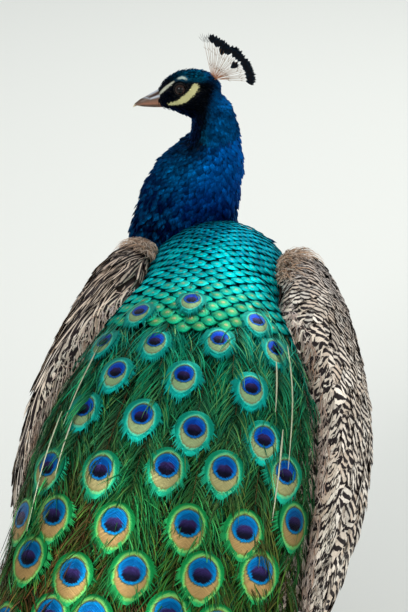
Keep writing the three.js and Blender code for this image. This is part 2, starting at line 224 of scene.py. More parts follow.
class Spline:
    """A smooth curve through knots, measured along the first three columns."""

    def __init__(self, knots: Sequence[Sequence[float]]) -> None:
        """Take the knots in order; columns past the third ride along."""
        self.knots = np.asarray(knots, float)
        steps = np.linalg.norm(np.diff(self.knots[:, :3], axis=0), axis=1)
        self.marks = np.concatenate([[0], np.cumsum(steps)])
        self.length = float(self.marks[-1])
        self.slopes = np.gradient(self.knots, self.marks, axis=0)

    def __call__(self, way: Array) -> Array:
        """Read the curve.

        Args:
            way: Lengths from the first knot.

        Returns:
            One row of columns for each length.
        """
        way = np.asarray(way, float)
        i = np.clip(np.searchsorted(self.marks, way, side="right") - 1, 0, len(self.marks) - 2)
        step = (self.marks[i + 1] - self.marks[i])[..., None]
        t = (way - self.marks[i])[..., None] / step
        a, b = self.knots[i], self.knots[i + 1]
        p, q = self.slopes[i] * step, self.slopes[i + 1] * step
        lead = (2 * t**3 - 3 * t**2 + 1) * a + (t**3 - 2 * t**2 + t) * p
        return lead + (3 * t**2 - 2 * t**3) * b + (t**3 - t**2) * q

    def evenly(self, count: int) -> Array:
        """Read the curve at evenly spaced lengths."""
        return self(np.linspace(0, self.length, count))


class Patch:
    """A smooth patch of surface, read by a share from head to tail and a share from side to side."""

    def __init__(self, grid: Array, facing: int = 1, smooth: int = 0) -> None:
        """Measure a grid of points.

        Args:
            grid: Points in metres, rows from head to tail and columns from side to side.
            facing: 1 if rows crossed with columns points outwards, else -1.
            smooth: How many times the grid's inside is averaged with its neighbours.
        """
        grid = grid.copy()
        for _ in range(smooth):
            for axis in (0, 1):
                g = np.moveaxis(grid, axis, 0)
                g[1:-1] = (g[:-2] + 2 * g[1:-1] + g[2:]) / 4
        self.grid = grid
        self.rows, self.cols = grid.shape[:2]
        down = np.gradient(grid, axis=0) * (self.rows - 1)
        over = np.gradient(grid, axis=1) * (self.cols - 1)
        self.up = unit(np.cross(down, over)) * facing
        self.down_size = np.linalg.norm(down, axis=-1, keepdims=True)
        self.over_size = np.linalg.norm(over, axis=-1, keepdims=True)

    def read(self, values: Array, s: Array, t: Array) -> Array:
        """Interpolate a grid of values, straight on past the edges."""
        x, y = np.asarray(s) * (self.rows - 1), np.asarray(t) * (self.cols - 1)
        i = np.clip(np.floor(x).astype(int), 0, self.rows - 2)
        j = np.clip(np.floor(y).astype(int), 0, self.cols - 2)
        u, v = np.clip(x - i, -6, 6)[..., None], np.clip(y - j, -6, 6)[..., None]
        near = values[i, j] * (1 - v) + values[i, j + 1] * v
        far = values[i + 1, j] * (1 - v) + values[i + 1, j + 1] * v
        return near * (1 - u) + far * u

    def at(self, s: Array, t: Array, lift: Array | float = 0.0) -> tuple[Array, Array]:
        """Find points on or over the patch.

        Args:
            s: Shares from head to tail.
            t: Shares from side to side.
            lift: Heights over the patch in metres.

        Returns:
            The points and the outward directions there.
        """
        up = unit(self.read(self.up, np.clip(s, 0, 1), np.clip(t, 0, 1)))
        return self.read(self.grid, s, t) + up * np.asarray(lift)[..., None], up

    def walk(self, s: Array, t: Array, ahead: Array, aside: Array) -> tuple[Array, Array]:
        """Move along the patch by lengths in metres: ahead is tailwards, aside towards the last column."""
        near_s, near_t = np.clip(s, 0, 1), np.clip(t, 0, 1)
        down = self.read(self.down_size, near_s, near_t)[..., 0]
        over = self.read(self.over_size, near_s, near_t)[..., 0]
        return s + ahead / down, t + aside / np.maximum(over, 1e-4)

    def comb(self, s: Array, t: Array, length: Array, turn: Array) -> tuple[Array, Array]:
        """Follow the patch from each root by equal steps.

        Args:
            s: The roots' shares from head to tail, one per feather.
            t: Their shares from side to side.
            length: The feathers' lengths in metres.
            turn: Turns away from tailwards in radians, one row per feather.

        Returns:
            The shares at each step.
        """
        count = turn.shape[1]
        step = length[:, None] / (count - 1) * np.ones(count)
        step[:, 0] = 0
        ahead, aside = np.cumsum(step * np.cos(turn), 1), np.cumsum(step * np.sin(turn), 1)
        return self.walk(s[:, None], t[:, None], ahead, aside)


# ---------------------------------------------------------------- meshes
def ribbon(
    spine: Array, up: Array, half: Array, cols: int, cup: Array | float = 0.0, lag: Array | float = 0.0
) -> Array:
    """Sweep curved sheets along spines.

    Args:
        spine: Points (sheets, rows, 3).
        up: Outward directions, as spine.
        half: Half widths (sheets, rows).
        cols: Points across each sheet.
        cup: How far the middle stands over the edges, as a share of the half width.
        lag: How far the edges lie back along the spine, in metres.

    Returns:
        Points (sheets, rows, cols, 3).
    """
    along = unit(np.gradient(spine, axis=1))
    side = unit(np.cross(along, up))
    lift = np.cross(side, along)
    u = np.linspace(-1, 1, cols)
    half = np.broadcast_to(half, spine.shape[:2])
    arch = np.broadcast_to(cup, spine.shape[:2]) * half
    back = np.broadcast_to(lag, spine.shape[:2])
    points = spine[:, :, None] + side[:, :, None] * (half[..., None] * u)[..., None]
    points = points + lift[:, :, None] * (arch[..., None] * (1 - u**2))[..., None]
    return points - along[:, :, None] * (back[..., None] * u**2)[..., None]


def tube(path: Array, side: Array, half: Array, high: Array, low: Array | None = None,
         around: int = 12) -> Array:
    """Loft one closed oval tube; an end closes where its size is nearly nothing.

    Args:
        path: Points (rows, 3).
        side: The direction of the half width.
        half: Half widths (rows).
        high: Heights over the path, towards side crossed with the path.
        low: Heights under the path, or None for the same.
        around: Points around each ring.

    Returns:
        Points (1, rows, around, 3), whose last column meets the first.
    """
    low = high if low is None else low
    along = unit(np.gradient(path, axis=0))
    side = np.broadcast_to(np.asarray(side, float), path.shape)
    side = unit(side - along * np.sum(side * along, axis=1, keepdims=True))
    up = np.cross(side, along)
    a = np.linspace(0, 2 * math.pi, around, endpoint=False)
    rise = np.where(np.sin(a) > 0, high[:, None], low[:, None]) * np.sin(a)
    ring = side[:, None] * (half[:, None] * np.cos(a))[..., None] + up[:, None] * rise[..., None]
    return (path[:, None] + ring)[None]


def on_map(s: Array, t: Array, edge: float) -> Array:
    """Roots' places on a bake map, side to side across it and tail to head up it, inside a plain edge."""
    return np.stack([np.clip(t, 0, 1), 1 - np.clip(s, 0, 1)], -1) * (1 - 2 * edge) + edge


def patches(centre: Array, size: Array | float, rows: int, cols: int) -> Array:
    """Lay one small square of the bake map for each sheet, centred on its root's place.

    Args:
        centre: Places (sheets, 2).
        size: Width and height of each square.
        rows: Rows of each sheet.
        cols: Columns of each sheet.

    Returns:
        Map places (sheets, rows, cols, 2).
    """
    v, u = np.meshgrid(np.linspace(-0.5, 0.5, rows), np.linspace(-0.5, 0.5, cols), indexing="ij")
    square = np.stack([u, v], -1)[None] * np.reshape(np.broadcast_to(size, (len(centre),)), (-1, 1, 1, 1))
    return np.clip(centre[:, None, None] + square, 0.0005, 0.9995)


class Sheets:
    """Gathers batches of curved sheets and tubes into the mesh of one piece."""

    def __init__(self) -> None:
        """Start with nothing."""
        self.batches: list[dict[str, Array]] = []
        self.count = 0

    def add(
        self, points: Array, vane: Array, tone: Array, bake: Array, finish: int = 0, closed: bool = False
    ) -> None:
        """Take one batch.

        Args:
            points: Points (sheets, rows, cols, 3).
            vane: Pattern coordinates for each point: across, along and a chance number.
            tone: Colours (.., 4), for each point or each sheet.
            bake: Bake map places (sheets, rows, cols, 2).
            finish: Which of the piece's materials it wears.
            closed: Whether the last column joins the first.
        """
        n, rows, cols = points.shape[:3]
        r, c = np.meshgrid(np.arange(rows - 1), np.arange(cols if closed else cols - 1), indexing="ij")
        nearer, further = r * cols + c, r * cols + (c + 1) % cols
        quads = np.stack([nearer, further, further + cols, nearer + cols], -1).reshape(1, -1, 4)
        quads = quads + (np.arange(n) * rows * cols)[:, None, None] + self.count
        if tone.ndim == 2:
            tone = tone[:, None, None]
        shape = (n, rows, cols)
        self.batches.append(
            {
                "points": points.reshape(-1, 3),
                "vane": np.broadcast_to(vane, (*shape, 3)).reshape(-1, 3),
                "tone": np.broadcast_to(tone, (*shape, 4)).reshape(-1, 4),
                "bake": np.broadcast_to(bake, (*shape, 2)).reshape(-1, 2),
                "quads": quads.reshape(-1, 4),
                "finish": np.full(quads.size // 4, finish),
            }
        )
        self.count += n * rows * cols

    def piece(self, name: str, slot: str, materials: Sequence[bpy.types.Material],
              weld: bool = False) -> bpy.types.Object:
        """Make the piece.

        Args:
            name: The object's name.
            slot: The record's material slot.
            materials: Materials in the order of the finish numbers.
            weld: Whether doubled points are merged, which closes poles.

        Returns:
            The new object, riding on the root.
        """
        whole = {key: np.concatenate([b[key] for b in self.batches]) for key in self.batches[0]}
        quads = whole["quads"]
        mesh = bpy.data.meshes.new(name)
        mesh.vertices.add(len(whole["points"]))
        mesh.vertices.foreach_set("co", whole["points"].astype(np.float32).ravel())
        mesh.loops.add(quads.size)
        mesh.loops.foreach_set("vertex_index", quads.astype(np.int32).ravel())
        mesh.polygons.add(len(quads))
        mesh.polygons.foreach_set("loop_start", np.arange(0, quads.size, 4, dtype=np.int32))
        mesh.polygons.foreach_set("material_index", whole["finish"].astype(np.int32))
        mesh.polygons.foreach_set("use_smooth", np.ones(len(quads), bool))
        write_attribute(mesh, "vane", "FLOAT_VECTOR", "vector", whole["vane"])
        write_attribute(mesh, "tone", "FLOAT_COLOR", "color", whole["tone"])
        write_bake_map(mesh, whole["bake"][quads.ravel()])
        for material in materials:
            mesh.materials.append(material)
        mesh.update(calc_edges=True)
        mesh.validate()
        if weld:
            welded(mesh, 4e-5)
        return placed(name, mesh, slot)


def write_attribute(mesh: bpy.types.Mesh, name: str, kind: str, member: str, values: Array) -> None:
    """Store one value for each vertex."""
    attribute = mesh.attributes.new(name, kind, "POINT")
    attribute.data.foreach_set(member, values.astype(np.float32).ravel())


def write_bake_map(mesh: bpy.types.Mesh, places: Array) -> None:
    """Store the bake map's place of each face corner."""
    layer = mesh.uv_layers.new(name="OFBake")
    layer.uv.foreach_set("vector", places.astype(np.float32).ravel())
    mesh.uv_layers.active = layer


def welded(mesh: bpy.types.Mesh, distance: float) -> None:
    """Merge doubled points and turn the faces outwards."""
    edit = bmesh.new()
    edit.from_mesh(mesh)
    bmesh.ops.remove_doubles(edit, verts=edit.verts, dist=distance)
    bmesh.ops.recalc_face_normals(edit, faces=edit.faces)
    edit.to_mesh(mesh)
    edit.free()


def placed(name: str, mesh: bpy.types.Mesh, slot: str) -> bpy.types.Object:
    """Link a mesh as a piece that rides on the root.

    Args:
        name: The object's name.
        mesh: Its mesh, in the frame's axes.
        slot: The record's material slot, which is not used.

    Returns:
        The new object.
    """
    piece = bpy.data.objects.new(name, mesh)
    bpy.context.scene.collection.objects.link(piece)
    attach(piece, "root")
    faces = sum(p.loop_total - 2 for p in mesh.polygons)
    log.info("%s: %d triangles", name, faces)
    return piece


# ---------------------------------------------------------------- landmarks
@dataclass(frozen=True)
class Datum:
    """The bird's axes in the frame, found from the eyeballs."""

    origin: Array
    head_centre: tuple[float, float, float] = (-41.0, 138.0, 648.0)
    eye_middle: tuple[float, float, float] = (0.0, 10.8, 10.5)
    eye_aside: float = 11.5

    @classmethod
    def head_turn(cls) -> Array:
        """The head's axes: +Y along the bill, +X to the bird's right, +Z to the crown."""
        return turned("Z", 96) @ turned("X", -3) @ turned("Y", 4)

    @classmethod
    def from_frame(cls) -> "Datum":
        """Work the origin out from the boxes of the two eyes."""
        balls = [np.mean([np.array(c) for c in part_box(f"eye_{side}")], axis=0) for side in SIDES]
        known = np.array(cls.head_centre) + cls.head_turn() @ np.array(cls.eye_middle)
        return cls(origin=np.mean(balls, axis=0) - MM * known)

    def place(self, points: Array) -> Array:
        """Points in the bird's axes, in millimetres, as points of the frame in metres."""
        return self.origin + MM * np.asarray(points, float)

    def measure(self, points: Array) -> Array:
        """Points of the frame as millimetres in the bird's axes."""
        return (np.asarray(points) - self.origin) / MM

    def on_head(self, points: Array) -> Array:
        """Points in the head's axes, in millimetres, as points of the frame."""
        return self.place(np.array(self.head_centre) + np.asarray(points, float) @ self.head_turn().T)

    def in_head(self, points: Array) -> Array:
        """Points of the frame as millimetres in the head's axes."""
        return (self.measure(points) - np.array(self.head_centre)) @ self.head_turn()


class Solids:
    """Some of the frame's solids joined for casting rays and finding near points."""

    def __init__(self, names: Sequence[str], nodes: dict[str, bpy.types.Object]) -> None:
        """Join the named nodes and remember which face is whose."""
        points, faces, owners = [], [], []
        start = 0
        for index, name in enumerate(names):
            mesh = nodes[name].data
            co = np.empty(len(mesh.vertices) * 3, np.float32)
            mesh.vertices.foreach_get("co", co)
            points.append(co.reshape(-1, 3))
            faces += [[start + v for v in p.vertices] for p in mesh.polygons]
            owners += [index] * len(mesh.polygons)
            start += len(mesh.vertices)
        self.names = list(names)
        self.points = np.concatenate(points)
        self.faces = faces
        self.owners = np.array(owners)
        self.tree = BVHTree.FromPolygons(self.points.tolist(), faces)

    def nearest(self, points: Array) -> tuple[Array, Array]:
        """The nearest surface points and the index of the node each lies on."""
        found = [self.tree.find_nearest(p) for p in points.tolist()]
        return np.array([f[0] for f in found]), self.owners[[f[2] for f in found]]

    def struck(self, points: Array, way: Array) -> Array:
        """Where rays from the points strike, or the nearest surface point of one that misses."""
        hits = []
        for point in points.tolist():
            hit = self.tree.ray_cast(Vector(point), Vector(way))[0]
            hits.append(self.tree.find_nearest(point)[0] if hit is None else hit)
        return np.array(hits)

    def patch(self, centres: Array, outward: Array, facing: int, smooth: int) -> Patch:
        """Cast from outside towards a centre line and join the hits as a patch.

        Args:
            centres: Points inside the solids (rows, 3).
            outward: Directions (cols, 3) or (rows, cols, 3).
            facing: The patch's facing.
            smooth: The patch's smoothing.

        Returns:
            The patch.
        """
        outward = np.broadcast_to(outward, (len(centres), outward.shape[-2], 3))
        grid = np.empty(outward.shape)
        for i, centre in enumerate(centres):
            for j, way in enumerate(outward[i]):
                hit = self.tree.ray_cast(Vector(centre + way * 0.35), Vector(-way), 0.35)[0]
                grid[i, j] = centre + way * 0.01 if hit is None else hit
        return Patch(grid, facing, smooth)


# ---------------------------------------------------------------- shader graphs
Socket = bpy.types.NodeSocket


class Graph:
    """Short ways to add the nodes of one shader tree."""

    def __init__(self, tree: bpy.types.NodeTree) -> None:
        """Work on a tree."""
        self.tree = tree

    def node(self, kind: str, **settings: object) -> bpy.types.Node:
        """Add a node and set its properties."""
        made = self.tree.nodes.new(kind)
        for key, value in settings.items():
            setattr(made, key, value)
        return made

    def feed(self, target: Socket, value: object) -> None:
        """Link a socket to the target, or set the target's own number or colour."""
        if isinstance(value, bpy.types.NodeSocket):
            self.tree.links.new(value, target)
        elif value is not None:
            target.default_value = value

    def math(self, operation: str, *values: object, clamp: bool = False) -> Socket:
        """Add a Math node."""
        made = self.node("ShaderNodeMath", operation=operation, use_clamp=clamp)
        for target, value in zip(made.inputs, values):
            self.feed(target, value)
        return made.outputs[0]

    def rise(self, value: Socket, low: float, high: float) -> Socket:
        """Go smoothly from 0 at low to 1 at high; low may be the larger."""
        made = self.node("ShaderNodeMapRange", interpolation_type="SMOOTHSTEP")
        ends = (low, high, 0.0, 1.0) if low < high else (high, low, 1.0, 0.0)
        for target, number in zip(made.inputs[1:5], ends):
            target.default_value = number
        self.feed(made.inputs[0], value)
        return made.outputs[0]

    def mix(self, share: object, a: object, b: object, how: str = "MIX") -> Socket:
        """Mix two colours."""
        made = self.node("ShaderNodeMix", data_type="RGBA", blend_type=how)
        self.feed(made.inputs[0], share)
        self.feed(made.inputs[6], a)
        self.feed(made.inputs[7], b)
        return made.outputs[2]

    def shaded(self, colour: object, shade: Socket) -> Socket:
        """A colour made lighter or darker by a number."""
        return self.mix(1.0, colour, self.joined(shade, shade, shade), "MULTIPLY")

    def split(self, vector: Socket) -> list[Socket]:
        """The three parts of a vector."""
        made = self.node("ShaderNodeSeparateXYZ")
        self.feed(made.inputs[0], vector)
        return list(made.outputs)

    def joined(self, x: object, y: object, z: object = 0.0) -> Socket:
        """A vector from three parts."""
        made = self.node("ShaderNodeCombineXYZ")
        for target, value in zip(made.inputs, (x, y, z)):
            self.feed(target, value)
        return made.outputs[0]

    def noise(self, vector: Socket, scale: float, detail: float = 2.0, rough: float = 0.5) -> Socket:
        """A noise from 0 to 1."""
        made = self.node("ShaderNodeTexNoise")
        self.feed(made.inputs["Vector"], vector)
        made.inputs["Scale"].default_value = scale
        made.inputs["Detail"].default_value = detail
        made.inputs["Roughness"].default_value = rough
        return made.outputs[0]

    def attribute(self, name: str) -> bpy.types.Node:
        """Read a piece's own attribute."""
        return self.node("ShaderNodeAttribute", attribute_name=name)

    def group(self, tree: bpy.types.NodeTree, **values: object) -> bpy.types.Node:
        """Place a node group and feed its named inputs, with _ for a space."""
        made = self.node("ShaderNodeGroup", node_tree=tree)
        for key, value in values.items():
            self.feed(made.inputs[key.replace("_", " ")], value)
        return made


class Group:
    """A shader node group under construction, with named inputs and outputs."""

    def __init__(self, name: str, inputs: dict[str, object], outputs: dict[str, str]) -> None:
        """Make the tree and its interface.

        Args:
            name: The group's name.
            inputs: Default numbers, vectors of three or colours of four by name.
            outputs: FLOAT or COLOR by name.
        """
        self.tree = bpy.data.node_groups.new(name, "ShaderNodeTree")
        kinds = {1: "NodeSocketFloat", 3: "NodeSocketVector", 4: "NodeSocketColor"}
        for key, value in inputs.items():
            size = 1 if isinstance(value, (int, float)) else len(value)
            made = self.tree.interface.new_socket(key, in_out="INPUT", socket_type=kinds[size])
            made.default_value = value
        for key, kind in outputs.items():
            wanted = "NodeSocketFloat" if kind == "FLOAT" else "NodeSocketColor"
            self.tree.interface.new_socket(key, in_out="OUTPUT", socket_type=wanted)
        self.graph = Graph(self.tree)
        self.inputs = self.graph.node("NodeGroupInput").outputs
        self.ends = self.graph.node("NodeGroupOutput").inputs

    def finish(self, **values: Socket) -> bpy.types.NodeTree:
        """Feed the outputs and give the tree."""
        for key, value in values.items():
            self.graph.feed(self.ends[key.replace("_", " ")], value)
        return self.tree


class Effects:
    """The shader effects that more than one finish uses, each built once."""

    def __init__(self) -> None:
        """Build the groups."""
        self.barbs = self.build_barbs()
        self.fleck = self.build_fleck()
        self.ocellus = self.build_ocellus()
        self.bars = self.build_bars()

    @staticmethod
    def build_barbs() -> bpy.types.NodeTree:
        """Fine barbs that leave the shaft forwards at a slant, and the shaft itself."""
        group = Group(
            "Barbs",
            {"Vane": (0.0, 0.0, 0.0), "Slant": 0.6, "Count": 24.0, "Shaft": 0.06},
            {"Streak": "FLOAT", "Shaft": "FLOAT", "Height": "FLOAT"},
        )
        g, given = group.graph, group.inputs
        across, along, chance = g.split(given["Vane"])
        out = g.math("ABSOLUTE", across)
        lane = g.math("SUBTRACT", along, g.math("MULTIPLY", out, given["Slant"]))
        side = g.math("SIGN", across)
        tracks = g.joined(g.math("MULTIPLY", lane, given["Count"]), g.math("MULTIPLY", out, 0.7), side)
        seed = g.node("ShaderNodeVectorMath", operation="MULTIPLY_ADD")
        g.feed(seed.inputs[0], g.joined(chance, chance, chance))
        seed.inputs[1].default_value = (37.0, 11.0, 5.0)
        g.feed(seed.inputs[2], tracks)
        fine = g.noise(seed.outputs[0], 1.0, 3.0, 0.65)
        streak = g.rise(fine, 0.34, 0.66)
        shaft = g.math("LESS_THAN", out, given["Shaft"])
        height = g.math("ADD", g.math("MULTIPLY", streak, 0.7), shaft)
        return group.finish(Streak=streak, Shaft=shaft, Height=height)

    @staticmethod
    def build_fleck() -> bpy.types.NodeTree:
        """A colour that wanders a little in light and towards a second colour."""
        group = Group(
            "Fleck",
            {"Colour": (0.5, 0.5, 0.5, 1.0), "Other": (0.2, 0.2, 0.2, 1.0), "Chance": 0.5, "Amount": 0.5,
             "Place": (0.0, 0.0, 0.0), "Grain": 60.0},
            {"Colour": "COLOR"},
        )
        g, given = group.graph, group.inputs
        patchy = g.node("ShaderNodeTexNoise")
        g.feed(patchy.inputs["Vector"], given["Place"])
        g.feed(patchy.inputs["Scale"], given["Grain"])
        patchy.inputs["Detail"].default_value = 3.0
        drift = g.math("ADD", g.math("MULTIPLY", patchy.outputs[0], 0.75),
                       g.math("MULTIPLY", given["Chance"], 0.5))
        share = g.math("MULTIPLY", g.rise(drift, 0.42, 0.86), given["Amount"])
        mixed = g.mix(share, given["Colour"], given["Other"])
        light = g.math("MULTIPLY_ADD", given["Chance"], 0.8, 0.6)
        return group.finish(Colour=g.shaded(mixed, light))

    @staticmethod
    def build_ocellus() -> bpy.types.NodeTree:
        """The eye of a train feather: rings about a heart, over eye coordinates where 1 is the half width."""
        group = Group(
            "Ocellus", {"Vane": (0.0, 0.0, 0.0), "Low": 0.0, "Streak": 0.5}, {"Colour": "COLOR",
                                                                              "Gloss": "FLOAT"}
        )
        g, given = group.graph, group.inputs
        wide, long, _ = g.split(given["Vane"])
        grown = g.math("MULTIPLY_ADD", given["Low"], 0.14, 0.86)
        x, y = g.math("DIVIDE", wide, grown), g.math("DIVIDE", long, grown)
        ragged = g.math("MULTIPLY_ADD", given["Streak"], 0.06, -0.03)

        def reach(centre: float, stretch: float) -> Socket:
            """The distance from a point on the shaft, with the length axis scaled."""
            dy = g.math("MULTIPLY", g.math("SUBTRACT", y, centre), stretch)
            square = g.math("ADD", g.math("MULTIPLY", x, x), g.math("MULTIPLY", dy, dy))
            return g.math("ADD", g.math("SQRT", square), ragged)

        low = given["Low"]
        outer = g.mix(low, Tone.AQUA.rgba, Tone.LEAF.rgba)
        rim = g.mix(low, full_tint(4, 136, 122), full_tint(16, 122, 60))
        pale = g.mix(low, full_tint(84, 196, 168), full_tint(116, 188, 98))
        tan = g.mix(low, Tone.SAND.rgba, full_tint(162, 132, 84))
        disc = g.mix(low, Tone.ULTRAMARINE.rgba, full_tint(2, 84, 142))
        halo = g.mix(low, full_tint(8, 88, 176), Tone.AZURE.rgba)
        colour = g.mix(g.rise(reach(0.40, 0.72), 1.0, 0.80), rim, outer)
        colour = g.mix(g.rise(reach(0.27, 0.76), 0.88, 0.80), colour, pale)
        ring = g.math("MULTIPLY", g.rise(reach(0.26, 0.78), 0.80, 0.75), 0.75)
        colour = g.mix(ring, colour, full_tint(128, 92, 48))
        colour = g.mix(g.rise(reach(0.26, 0.78), 0.74, 0.66), colour, tan)
        colour = g.mix(g.rise(reach(0.0, 1.0), 0.72, 0.65), colour, full_tint(58, 84, 72))
        colour = g.mix(g.rise(reach(0.0, 1.0), 0.65, 0.60), colour, halo)
        colour = g.mix(g.rise(reach(0.0, 1.0), 0.58, 0.44), colour, disc)
        lobes = g.math("SUBTRACT", reach(0.17, 1.0), g.math("MULTIPLY", g.math("ABSOLUTE", x), 0.2))
        heart = g.mix(g.rise(y, -0.1, 0.3), Tone.PLUM.rgba, full_tint(12, 13, 30))
        colour = g.mix(g.rise(lobes, 0.38, 0.30), colour, heart)
        shade = g.math("MULTIPLY_ADD", given["Streak"], 0.28, 0.78)
        colour = g.shaded(colour, shade)
        return group.finish(Colour=colour, Gloss=g.rise(reach(0.0, 1.0), 0.9, 0.3))

    @staticmethod
    def build_bars() -> bpy.types.NodeTree:
        """Wavy broken bars across a feather, over coordinates in millimetres."""
        group = Group(
            "Bars",
            {"Vane": (0.0, 0.0, 0.0), "Pitch": 7.0, "Wave": 0.8, "Skew": 0.5, "Dark": 0.5},
            {"Bar": "FLOAT"},
        )
        g, given = group.graph, group.inputs
        across, along, chance = g.split(given["Vane"])
        shifted = g.joined(across, along, g.math("MULTIPLY", chance, 90.0))
        slow = g.noise(shifted, 0.16, 2.0)
        fine = g.noise(shifted, 0.7, 2.0)
        waves = g.math("MULTIPLY_ADD", g.math("SUBTRACT", slow, 0.5), 2.6, g.math("MULTIPLY", chance, 3.0))
        lean = g.math("MULTIPLY", g.math("ABSOLUTE", across), given["Skew"])
        run = g.math("DIVIDE", g.math("ADD", along, lean), given["Pitch"])
        turn = g.math("ADD", run, g.math("MULTIPLY", waves, given["Wave"]))
        bar = g.math("MULTIPLY_ADD", g.math("SINE", g.math("MULTIPLY", turn, 2 * math.pi)), 0.5, 0.5)
        broken = g.math("ADD", bar, g.math("MULTIPLY", g.math("SUBTRACT", fine, 0.5), 0.7))
        level = g.math("SUBTRACT", g.math("ADD", broken, given["Dark"]), 1.0)
        return group.finish(Bar=g.rise(level, -0.12, 0.14))


# ---------------------------------------------------------------- finishes
@dataclass(frozen=True)
class Look:
    """What a finish feeds its shader: sockets or plain numbers."""

    colour: object
    roughness: object = 0.5
    metallic: object = 0.0
    height: object = None


@dataclass(frozen=True)
class Finish:
    """A material of the bird; a kind of finish paints its own look."""

    name: str
    effects: Effects
    roughness: float = 0.5
    metallic: float = 0.0
    bump: float = 0.3
    depth: float = 0.3
    coat: float = 0.0
    sheen: float = 0.0
    specular: float = 0.12
    edge: tuple[float, float, float] = (1.0, 1.0, 1.0)

    def paint(self, g: Graph) -> Look:
        """Give the colour and the rest of the look."""
        raise NotImplementedError

    def material(self) -> bpy.types.Material:
        """Build the material.

        Returns:
            The material, with one Principled shader.
        """
        made = bpy.data.materials.new(self.name)
        made.use_nodes = True
        tree = made.node_tree
        shader = tree.nodes["Principled BSDF"]
        g = Graph(tree)
        look = self.paint(g)
        g.feed(shader.inputs["Base Color"], look.colour)
        g.feed(shader.inputs["Roughness"], look.roughness)
        g.feed(shader.inputs["Metallic"], look.metallic)
        shader.inputs["Specular IOR Level"].default_value = self.specular
        shader.inputs["Specular Tint"].default_value = (*self.edge, 1.0)
        shader.inputs["Coat Weight"].default_value = self.coat
        shader.inputs["Coat Roughness"].default_value = 0.08
        shader.inputs["Sheen Weight"].default_value = self.sheen
        shader.inputs["Sheen Roughness"].default_value = 0.5
        if look.height is not None:
            raised = g.node("ShaderNodeBump")
            raised.inputs["Strength"].default_value = self.bump
            raised.inputs["Distance"].default_value = self.depth * MM
            g.feed(raised.inputs["Height"], look.height)
            g.feed(shader.inputs["Normal"], raised.outputs[0])
        return made


@dataclass(frozen=True)
class PlumageFinish(Finish):
    """Contour feathers in their own tone, drifting to a second colour, with fine barbs and painted shade at
    the root.
    """

    other: Tone = Tone.PETROL
    drift: float = 0.5
    grain: float = 55.0
    # how far up the feather the painted shade at its root reaches
    root: float = 0.35
    count: float = 14.0

    def paint(self, g: Graph) -> Look:
        """Tone, drift and barbs."""
        vane, tone = g.attribute("vane"), g.attribute("tone")
        place = g.node("ShaderNodeTexCoord").outputs["Object"]
        _, along, chance = g.split(vane.outputs["Vector"])
        barbs = g.group(self.effects.barbs, Vane=vane.outputs["Vector"], Count=self.count, Slant=0.5,
                        Shaft=0.03)
        amount = g.math("MULTIPLY", tone.outputs["Alpha"], self.drift)
        fleck = g.group(
            self.effects.fleck, Colour=tone.outputs["Color"], Other=self.other.rgba, Chance=chance,
            Amount=amount, Place=place, Grain=self.grain,
        )
        streak = barbs.outputs["Streak"]
        # painted shade: darker towards the root, where the feathers before lie over it
        shade = g.math("MULTIPLY", g.math("MULTIPLY_ADD", streak, 0.5, 0.72), g.rise(along, -0.3, self.root))
        colour = g.shaded(fleck.outputs[0], shade)
        rough = g.math("MULTIPLY_ADD", streak, -0.12, self.roughness)
        return Look(colour, rough, self.metallic, barbs.outputs["Height"])


@dataclass(frozen=True)
class ScaleFinish(Finish):
    """The mantle's scales: bright faces over roots darkened with painted shade, with a golden middle and a
    small copper spot.
    """

    def paint(self, g: Graph) -> Look:
        """Rings about the spot; the tone's alpha says how golden the scale is."""
        vane, tone = g.attribute("vane"), g.attribute("tone")
        across, along, chance = g.split(vane.outputs["Vector"])
        barbs = g.group(self.effects.barbs, Vane=vane.outputs["Vector"], Count=20.0, Slant=0.35, Shaft=0.0)
        streak = barbs.outputs["Streak"]
        dy = g.math("DIVIDE", g.math("SUBTRACT", along, 0.66), 0.34)
        square = g.math("ADD", g.math("MULTIPLY", across, across), g.math("MULTIPLY", dy, dy))
        reach = g.math("ADD", g.math("SQRT", square), g.math("MULTIPLY_ADD", streak, 0.08, -0.04))
        gold = tone.outputs["Alpha"]
        inner = g.mix(g.math("MULTIPLY", g.rise(reach, 0.9, 0.5), 0.45), tone.outputs["Color"],
                      full_tint(0, 132, 128))
        face = g.mix(g.math("MULTIPLY", g.rise(reach, 0.86, 0.2), gold), inner, Tone.GOLD.rgba)
        spot = g.mix(gold, Tone.COPPER.rgba, full_tint(186, 160, 116))
        small = g.math("SUBTRACT", reach, g.math("MULTIPLY", gold, 0.08))
        face = g.mix(g.math("MULTIPLY", g.rise(small, 0.19, 0.09), 0.6), face, spot)
        light = g.math("MULTIPLY_ADD", chance, 0.6, 0.85)
        shade = g.math("MULTIPLY", g.math("MULTIPLY_ADD", streak, 0.34, 0.84), light)
        face = g.shaded(face, shade)
        face = g.mix(g.math("MULTIPLY", g.rise(reach, 0.76, 1.02), 0.85), face, full_tint(0, 44, 52))
        # painted shade: the root goes dark where the scale before lies over it
        colour = g.mix(g.rise(along, 0.52, 0.34), face, full_tint(0, 24, 28))
        return Look(colour, self.roughness, self.metallic, barbs.outputs["Height"])


@dataclass(frozen=True)
class OcellusFinish(Finish):
    """The eye discs of the train."""

    def paint(self, g: Graph) -> Look:
        """The rings, cut by fine barbs; the tone's alpha is how far down the train the eye lies."""
        vane, tone = g.attribute("vane"), g.attribute("tone")
        x, y, chance = g.split(vane.outputs["Vector"])
        lanes = g.joined(g.math("MULTIPLY", x, 0.8), g.math("MULTIPLY", y, 0.55), chance)
        barbs = g.group(self.effects.barbs, Vane=lanes, Count=34.0, Slant=0.5, Shaft=0.0)
        rings = g.group(
            self.effects.ocellus, Vane=vane.outputs["Vector"], Low=tone.outputs["Alpha"],
            Streak=barbs.outputs["Streak"],
        )
        rough = g.math("MULTIPLY_ADD", rings.outputs["Gloss"], -0.14, self.roughness)
        return Look(rings.outputs["Colour"], rough, self.metallic, barbs.outputs["Height"])


